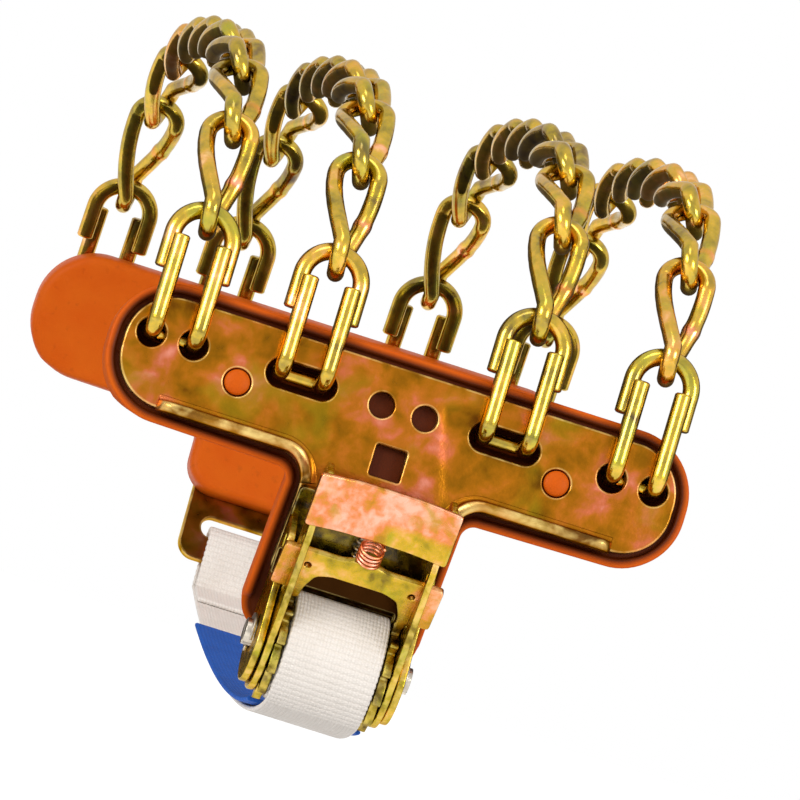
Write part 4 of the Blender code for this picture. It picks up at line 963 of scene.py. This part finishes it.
drive_outline = mirrored([*SCALLOP, (WHEEL_FROM, DRIVE_TIP), (WHEEL_TO, DRIVE_TIP), (WHEEL_TO, ear_low),
                          (DRIVE_EAR_X, ear_low), (DRIVE_EAR_X, ear_high), (WHEEL_TO, ear_high),
                          (DRIVE_TONGUE * 2, DRIVE_BACK), (DRIVE_TONGUE, DRIVE_TAIL)])
drive_loops = [softened(drive_outline, DRIVE_ROUND)]
drive_loops += [ring(s * DIMPLE_X, DIMPLE_REACH, DIMPLE_RADIUS, 18) for s in (-1, 1)]
pawl_flat = pressed(drive_loops, DRIVE_THICK, PAWL_EDGE)
pawl_flat["marks"]["tone"] = PAWL_TONE + PAWL_EAR * eased(np.abs(pawl_flat["points"][:, 0]), *PAWL_EAR_X)
piece("drive_pawl_plate", along_spool(pawl_flat, DRIVE_ANGLE, DRIVE_THICK), zinc_ratchet,
      "drive_pawl", "zinc_ratchet", "drive_pawl")
drive_coil = coil(DRIVE_ANGLE, DRIVE_SPRING_RADIUS, DRIVE_TAIL + FIT, DRIVE_SPRING_END, DRIVE_COILS)
drive_ends = spring_ends(DRIVE_ANGLE, DRIVE_SPRING_END, DRIVE_TAIL)
piece("drive_pawl_coil", toned(drive_coil, SPRING_TONE), zinc_ratchet, ("handle", "drive_pawl", *drive_ends),
      "bright_steel", "drive_pawl_spring")


# Strap. White 25 mm polyester webbing with ribs across it, wound on the spool and led under it across
# to the inner plate's slot, where its end is folded back and sewn. A wider blue sleeve lies along the
# run and guards it from chafing.
STRAP_HALF, STRAP, RIB_PITCH, RIB_DEEP = 0.0125, 0.0013, 0.0016, 0.00017
ROLL_START, ROLL_TURNS, ROLL_STEP, ROLL_END = 0.0062, 4.7, 0.0018, math.radians(235.0)
RUN_LEAVES, RUN_PULL, RUN_SAG = math.radians(70.0), 0.0300, (-0.0850, -0.0180)
RUN_EASE, RUN_REACH, STRAP_OFF, HOOK_ROUND, TAIL_GAP = 0.0450, 0.0160, 0.0022, 0.0030, 0.0001
WRAP_BACK, WRAP_SINK = math.radians(132.0), 0.00306
SLEEVE_HALF, SLEEVE, SLEEVE_GAP, SLEEVE_STARTS, SLEEVE_ENDS = 0.0153, 0.0012, 0.0004, 0.0010, 0.80
SLEEVE_RIB, SEWN = 0.00018, (0.0075, 0.0225)
THREAD, STITCH, STITCH_ROWS = 0.00032, 0.0024, (-0.0100, -0.0050, 0.0, 0.0050, 0.0100)
# The darker webbing colours paint shade in rib valleys and weave gaps, and serve as soil too.
WEB_WHITE, WEB_SHADE_AND_SOIL = (0.82, 0.76, 0.70), (0.62, 0.55, 0.48)
WEB_BLUE, WEB_BLUE_SHADE_AND_SOIL = (0.008, 0.105, 0.50), (0.003, 0.035, 0.21)
RIB_STEPS, FACE_POINTS, EDGE_POINTS = 8, 15, 4


def band(path, half, thick, pitch, deep):
    """Webbing along a path (y, z): a flat section with rounded edges, as wide as twice half in x, whose
    faces rise and fall as ribs along its length and whose edges bulge a little at each rib."""
    path = spaced(path, pitch / RIB_STEPS)
    off = beside(path)
    along = np.arange(len(path)) * pitch / RIB_STEPS
    rib = np.abs(np.sin(math.pi * along / pitch)) ** 0.7
    edge = np.radians(np.linspace(-90.0, 90.0, EDGE_POINTS + 2))[1:-1]
    flat, level, end = np.linspace(-1, 1, FACE_POINTS), np.ones(FACE_POINTS), np.ones(EDGE_POINTS)
    across = np.concatenate((flat, end, -flat, -end))
    round_out = np.concatenate((0 * level, np.cos(edge), 0 * level, -np.cos(edge)))
    up = np.concatenate((-level, np.sin(edge), level, -np.sin(edge)))
    swell = thick / 2 - deep * (1 - rib)
    x = across * (half - thick / 2) + round_out * (swell[:, None] + 0.3 * deep * rib[:, None])
    spot = path[:, None] + off[:, None] * (up * swell[:, None])[..., None]
    numbers = np.arange(x.size).reshape(x.shape)
    points = np.concatenate((x[..., None], spot), axis=2).reshape(-1, 3)
    runs = np.broadcast_to(along[:, None], x.shape).ravel()
    return shape_of(points, between(numbers), numbers[:1, ::-1], numbers[-1:], along=runs, across=x.ravel(),
                    rib=np.broadcast_to(rib[:, None], x.shape).ravel())


def weave_group():
    """Plain weave: lengthwise yarns as rounded ridges across the band, broken along it by the picks of the
    weft, with a little fuzz. Puts out the height and a mask of the gaps between yarns, used to paint shade in
    the gaps."""
    inputs = {"Across": 0.0, "Along": 0.0, "Yarn": 0.0008, "Pick": 0.0007}
    outputs = {"Height": "Float", "Gaps": "Float", "Fuzz": "Float"}
    tree, given, put = group_of("webbing_weave", inputs, outputs)
    yarn = worked(tree, "DIVIDE", given["Across"], given["Yarn"])
    pick = worked(tree, "DIVIDE", given["Along"], given["Pick"])
    offset = worked(tree, "MULTIPLY", worked(tree, "FLOORED_MODULO", worked(tree, "FLOOR", yarn), 2.0), 0.5)
    ridge, step = (worked(tree, "ABSOLUTE", worked(tree, "SINE", worked(tree, "MULTIPLY", count, math.pi)))
                   for count in (yarn, worked(tree, "ADD", pick, offset)))
    fuzz = noise(tree, 3000.0, 3.0, 8.0)
    broken = worked(tree, "MULTIPLY_ADD", step, 0.6, 0.4)
    height = worked(tree, "MULTIPLY_ADD", ridge, broken, worked(tree, "MULTIPLY", fuzz, 0.25))
    gaps = spread(tree, worked(tree, "MULTIPLY", ridge, step), 0.0, 0.45, 1.0, 0.0)
    feed(tree, put, {"Height": height, "Gaps": gaps, "Fuzz": fuzz})
    return tree


webbing_weave = weave_group()


def webbing(name, colour, shade, yarn, sheen):
    """Woven polyester: the weave's gaps and the valleys between ribs are painted darker as shade, and soils
    cloud it a little.
    """
    material, tree, shader = new_finish(name)
    weave = node(tree, "Group", node_tree=webbing_weave)
    feed(tree, weave, {"Yarn": yarn, "Across": mark(tree, "across"), "Along": mark(tree, "along")})
    weave = weave.outputs
    # Painted shade: the valleys between ribs and the gaps between yarns are coloured darker.
    rib_valley_shade = spread(tree, mark(tree, "rib"), 0.0, 0.5, 0.5, 0.0)
    dark = worked(tree, "MAXIMUM", rib_valley_shade, worked(tree, "MULTIPLY", weave["Gaps"], 0.3))
    soil = spread(tree, noise(tree, 90.0, 4.0, 9.0), 0.45, 0.75, 0.0, 0.35)
    soiled = tinted(tree, soil, (*colour, 1.0), (*shade, 1.0))
    bump = node(tree, "Bump", {"Height": weave["Height"], "Strength": 0.55, "Distance": 0.00025})
    feed(tree, shader, {"Base Color": tinted(tree, dark, soiled, (*shade, 1.0)),
                        "Roughness": spread(tree, weave["Fuzz"], 0.3, 0.7, 0.62, 0.82),
                        "Normal": bump.outputs["Normal"], "Sheen Weight": sheen, "Sheen Roughness": 0.4,
                        "Specular IOR Level": 0.25})
    return material


white_webbing = webbing("white_webbing", WEB_WHITE, WEB_SHADE_AND_SOIL, 0.0009, 0.25)
blue_webbing = webbing("blue_webbing", WEB_BLUE, WEB_BLUE_SHADE_AND_SOIL, 0.0011, 0.05)

wound = np.linspace(0.0, 2 * math.pi * ROLL_TURNS, 900)
roll_reach = ROLL_START + ROLL_STEP * wound / (2 * math.pi)
roll_path = on_stem(0.0, *spun(ROLL_END - wound[-1] + wound, roll_reach))[:, 1:]
roll_shape = band(roll_path, STRAP_HALF, STRAP, RIB_PITCH, RIB_DEEP)
strap_roll = piece("strap_winding", roll_shape, white_webbing, "spool", "white_webbing", "strap_roll")
roll_length = run_along(roll_path)[-1]

spool_axis = hinges["handle_fold"][1:]
run_radius = ROLL_START + ROLL_STEP * ROLL_TURNS + STRAP + FIT
leaving = math.pi + RUN_LEAVES
wrap = np.linspace(-WRAP_BACK, 0.0, 120)[:-1, None]
wrap_radius = run_radius + WRAP_SINK * wrap / WRAP_BACK
wrapped = spool_axis + wrap_radius * np.hstack((np.cos(leaving + wrap), np.sin(leaving + wrap)))
start = spool_axis - run_radius * np.array((math.cos(RUN_LEAVES), math.sin(RUN_LEAVES)))
leaves = start + RUN_PULL * np.array((math.sin(RUN_LEAVES), -math.cos(RUN_LEAVES)))
front = PLATE_THICK + STRAP_OFF
slot_top = folded(0.0, STRAP_SLOT_V, front, INNER)[1:]
near = folded(0.0, STRAP_SLOT_V - RUN_REACH, front, INNER)[1:]
down = (near - slot_top) / np.linalg.norm(near - slot_top)
comes = near + (RUN_EASE * down[0] + RUN_SAG[0], RUN_SAG[1])
t = np.linspace(0.0, 1.0, 400)[:, None]
free_run = (1 - t) ** 3 * start + 3 * t * (1 - t) ** 2 * leaves + 3 * t * t * (1 - t) * comes + t ** 3 * near
slot_low = STRAP_SLOT_V - STRAP_SLOT_WIDE
hook_line = np.array([(STRAP_SLOT_V - 3 * STRAP_SLOT_WIDE, front), (slot_low, front),
                      (STRAP_SLOT_V, PLATE_THICK), (STRAP_SLOT_V, 0.0),
                      (slot_low, -STRAP_OFF), (INNER_STEM_END, -STRAP_OFF)])
hook = folded(0.0, *hook_line.T, INNER)[:, 1:]
run_off = beside(free_run)
to_go = np.linalg.norm(near - free_run, axis=1)
sewn = (to_go > SEWN[0]) & (to_go < SEWN[1])
tail_side = np.sign((hook[-1] - near) @ run_off[-1])
tail = (free_run + tail_side * (STRAP + TAIL_GAP) * run_off)[sewn][::-1]
turned_back = softened(np.vstack((hook, tail[:1], tail[5:6])), HOOK_ROUND, closed=False)
hook = np.vstack((turned_back, tail[6:]))


def stitch(x, at):
    """One lengthwise stitch of thick thread on the run's open face, bowed so that both ends dive in."""
    share = np.linspace(0.0, 1.0, 9)
    order = np.argsort(to_go)
    along, off = (np.column_stack([np.interp(at + share * STITCH, to_go[order], c[order]) for c in line.T])
                  for line in (free_run, run_off))
    rise = STRAP / 2 - THREAD + 1.6 * THREAD * np.sin(math.pi * share)
    spot = along - tail_side * off * rise[:, None]
    thread = wire(np.column_stack((np.full(9, x), spot)), THREAD, (1.0, 0.0, 0.0), sides=8)
    thread["marks"]["rib"] = np.ones(len(thread["points"]))
    return thread


stitches = [stitch(x, at) for x in STITCH_ROWS for at in np.arange(*SEWN, 1.2 * STITCH)[:-1]]
for name, path, sewing, body, nodes in (
        ("strap_last_turn", np.vstack((wrapped, start)), [], "outer_base", ()),
        ("strap_length", np.vstack((free_run, hook)), stitches, "inner_plate", ("strap_run",))):
    shape = joined(band(path, STRAP_HALF, STRAP, RIB_PITCH, RIB_DEEP), *sewing)
    strap = piece(name, shape, white_webbing, body, "white_webbing", *nodes)
    length = run_along(path)[-1]

above = free_run + run_off * ((STRAP + SLEEVE) / 2 + SLEEVE_GAP)
above = above[: int(SLEEVE_ENDS * len(above))]
clear = np.hypot(*(above - spool_axis).T) > WHEEL_TIP + SLEEVE + SLEEVE_STARTS
sleeve_path = above[clear]
sleeve_length = run_along(sleeve_path)[-1]
sleeve_shape = band(sleeve_path, SLEEVE_HALF, SLEEVE, RIB_PITCH, SLEEVE_RIB)
sleeve = piece("strap_blue_sleeve", sleeve_shape, blue_webbing, "inner_plate", "blue_webbing", "strap_sleeve")


# Studio. A pale floor below the object, a white surround, a dark card that only reflections see, four
# soft lamps, and the camera, which looks at the outer plate nearly square on, with the unit leaning right.
FLOOR_Z, FLOOR_HALF, FLOOR_PAINT, FLOOR_GLOW = -0.30, 4.0, (0.75, 0.75, 0.75, 1.0), 0.6
CARD_LOW, CARD_HIGH, CARD_PAINT = (-0.30, -0.084, -0.150), (0.30, 0.084, -0.012), (0.07, 0.06, 0.05, 1.0)
WHITE, SURROUND_LIGHT = (1.0, 1.0, 1.0, 1.0), 0.62
LOOK_AZIMUTH, LOOK_ELEVATION, LOOK_ROLL = math.radians(-7.2), math.radians(0.6), math.radians(17.75)
LOOK_AT, LOOK_DISTANCE, VIEW_WIDTH, SENSOR = Vector((0.0, -0.105, -0.068)), 2.6, 0.205, 36.0


def lit_white(tree, plain):
    """The strength of a white surround: 1 for what the camera, reflections and glass see, plain for light."""
    path = node(tree, "LightPath").outputs
    mirrored_or_clear = worked(tree, "MAXIMUM", path["Is Glossy Ray"], path["Is Transmission Ray"])
    seen = worked(tree, "MAXIMUM", path["Is Camera Ray"], mirrored_or_clear)
    return spread(tree, seen, 0.0, 1.0, plain, 1.0)


def studio_board(name, points, faces, paint):
    """One plain piece of the studio in its paint."""
    mesh = bpy.data.meshes.new(name)
    mesh.from_pydata(points, [], faces)
    mesh.materials.append(paint)
    board = bpy.data.objects.new(name, mesh)
    bpy.context.scene.collection.objects.link(board)
    return board


floor_paint, floor_tree, floor_shader = new_finish("studio_white")
floor_glow = worked(floor_tree, "MULTIPLY", lit_white(floor_tree, 0.0), FLOOR_GLOW)
feed(floor_tree, floor_shader, {"Base Color": FLOOR_PAINT, "Roughness": 0.9, "Emission Color": WHITE,
                                "Emission Strength": floor_glow})
floor_corners = oblong((-FLOOR_HALF, -FLOOR_HALF), (FLOOR_HALF, FLOOR_HALF))
studio_board("studio_floor", [(x, y, FLOOR_Z) for x, y in floor_corners], [(0, 1, 2, 3)], floor_paint)

card_paint, card_tree, card_shader = new_finish("studio_black")
feed(card_tree, card_shader, {"Base Color": CARD_PAINT})
card_points = np.stack(np.meshgrid(*zip(CARD_LOW, CARD_HIGH), indexing="ij"), -1).reshape(-1, 3).tolist()
card_faces = [(0, 1, 3, 2), (4, 6, 7, 5), (0, 4, 5, 1), (2, 3, 7, 6), (0, 2, 6, 4), (1, 5, 7, 3)]
card = studio_board("studio_dark_card", card_points, card_faces, card_paint)
card.visible_camera = card.visible_diffuse = card.visible_shadow = card.visible_transmission = False

world = bpy.data.worlds.new("studio_surround")
world.use_nodes = True
bpy.context.scene.world = world
surround = world.node_tree.nodes["Background"]
feed(world.node_tree, surround, {"Color": WHITE, "Strength": lit_white(world.node_tree, SURROUND_LIGHT)})

for name, place, size, power in (("top_lamp", (-0.5, -1.2, 1.7), (0.8, 0.8), 5.0),
                                 ("left_softbox", (-1.35, -1.3, 0.45), (0.9, 0.5), 15.0),
                                 ("right_softbox", (1.25, -1.4, 0.45), (0.8, 0.5), 11.5),
                                 ("rear_softbox", (0.3, 1.8, 0.3), (1.6, 0.8), 9.0)):
    lamp_data = bpy.data.lights.new(name, "AREA")
    lamp_data.shape, lamp_data.energy = "RECTANGLE", power
    lamp_data.size, lamp_data.size_y = size
    lamp = bpy.data.objects.new(name, lamp_data)
    lamp.location = place
    lamp.rotation_mode = "QUATERNION"
    lamp.rotation_quaternion = (LOOK_AT - lamp.location).to_track_quat("-Z", "Y")
    lamp.visible_glossy = name != "rear_softbox"
    bpy.context.scene.collection.objects.link(lamp)

camera_data = bpy.data.cameras.new("photo_camera")
camera_data.sensor_width = SENSOR
camera_data.lens = SENSOR * LOOK_DISTANCE / VIEW_WIDTH
camera_data.clip_start, camera_data.clip_end = 0.05, 60.0
camera = bpy.data.objects.new("photo_camera", camera_data)
bpy.context.scene.collection.objects.link(camera)
level = math.cos(LOOK_ELEVATION)
back = Vector((math.sin(LOOK_AZIMUTH) * level, -math.cos(LOOK_AZIMUTH) * level, math.sin(LOOK_ELEVATION)))
camera.location = LOOK_AT + back * LOOK_DISTANCE
camera.rotation_mode = "QUATERNION"
camera.rotation_quaternion = (-back).to_track_quat("-Z", "Y") @ Quaternion((0.0, 0.0, 1.0), LOOK_ROLL)
bpy.context.scene.camera = camera
bpy.context.scene.view_settings.view_transform = "Standard"
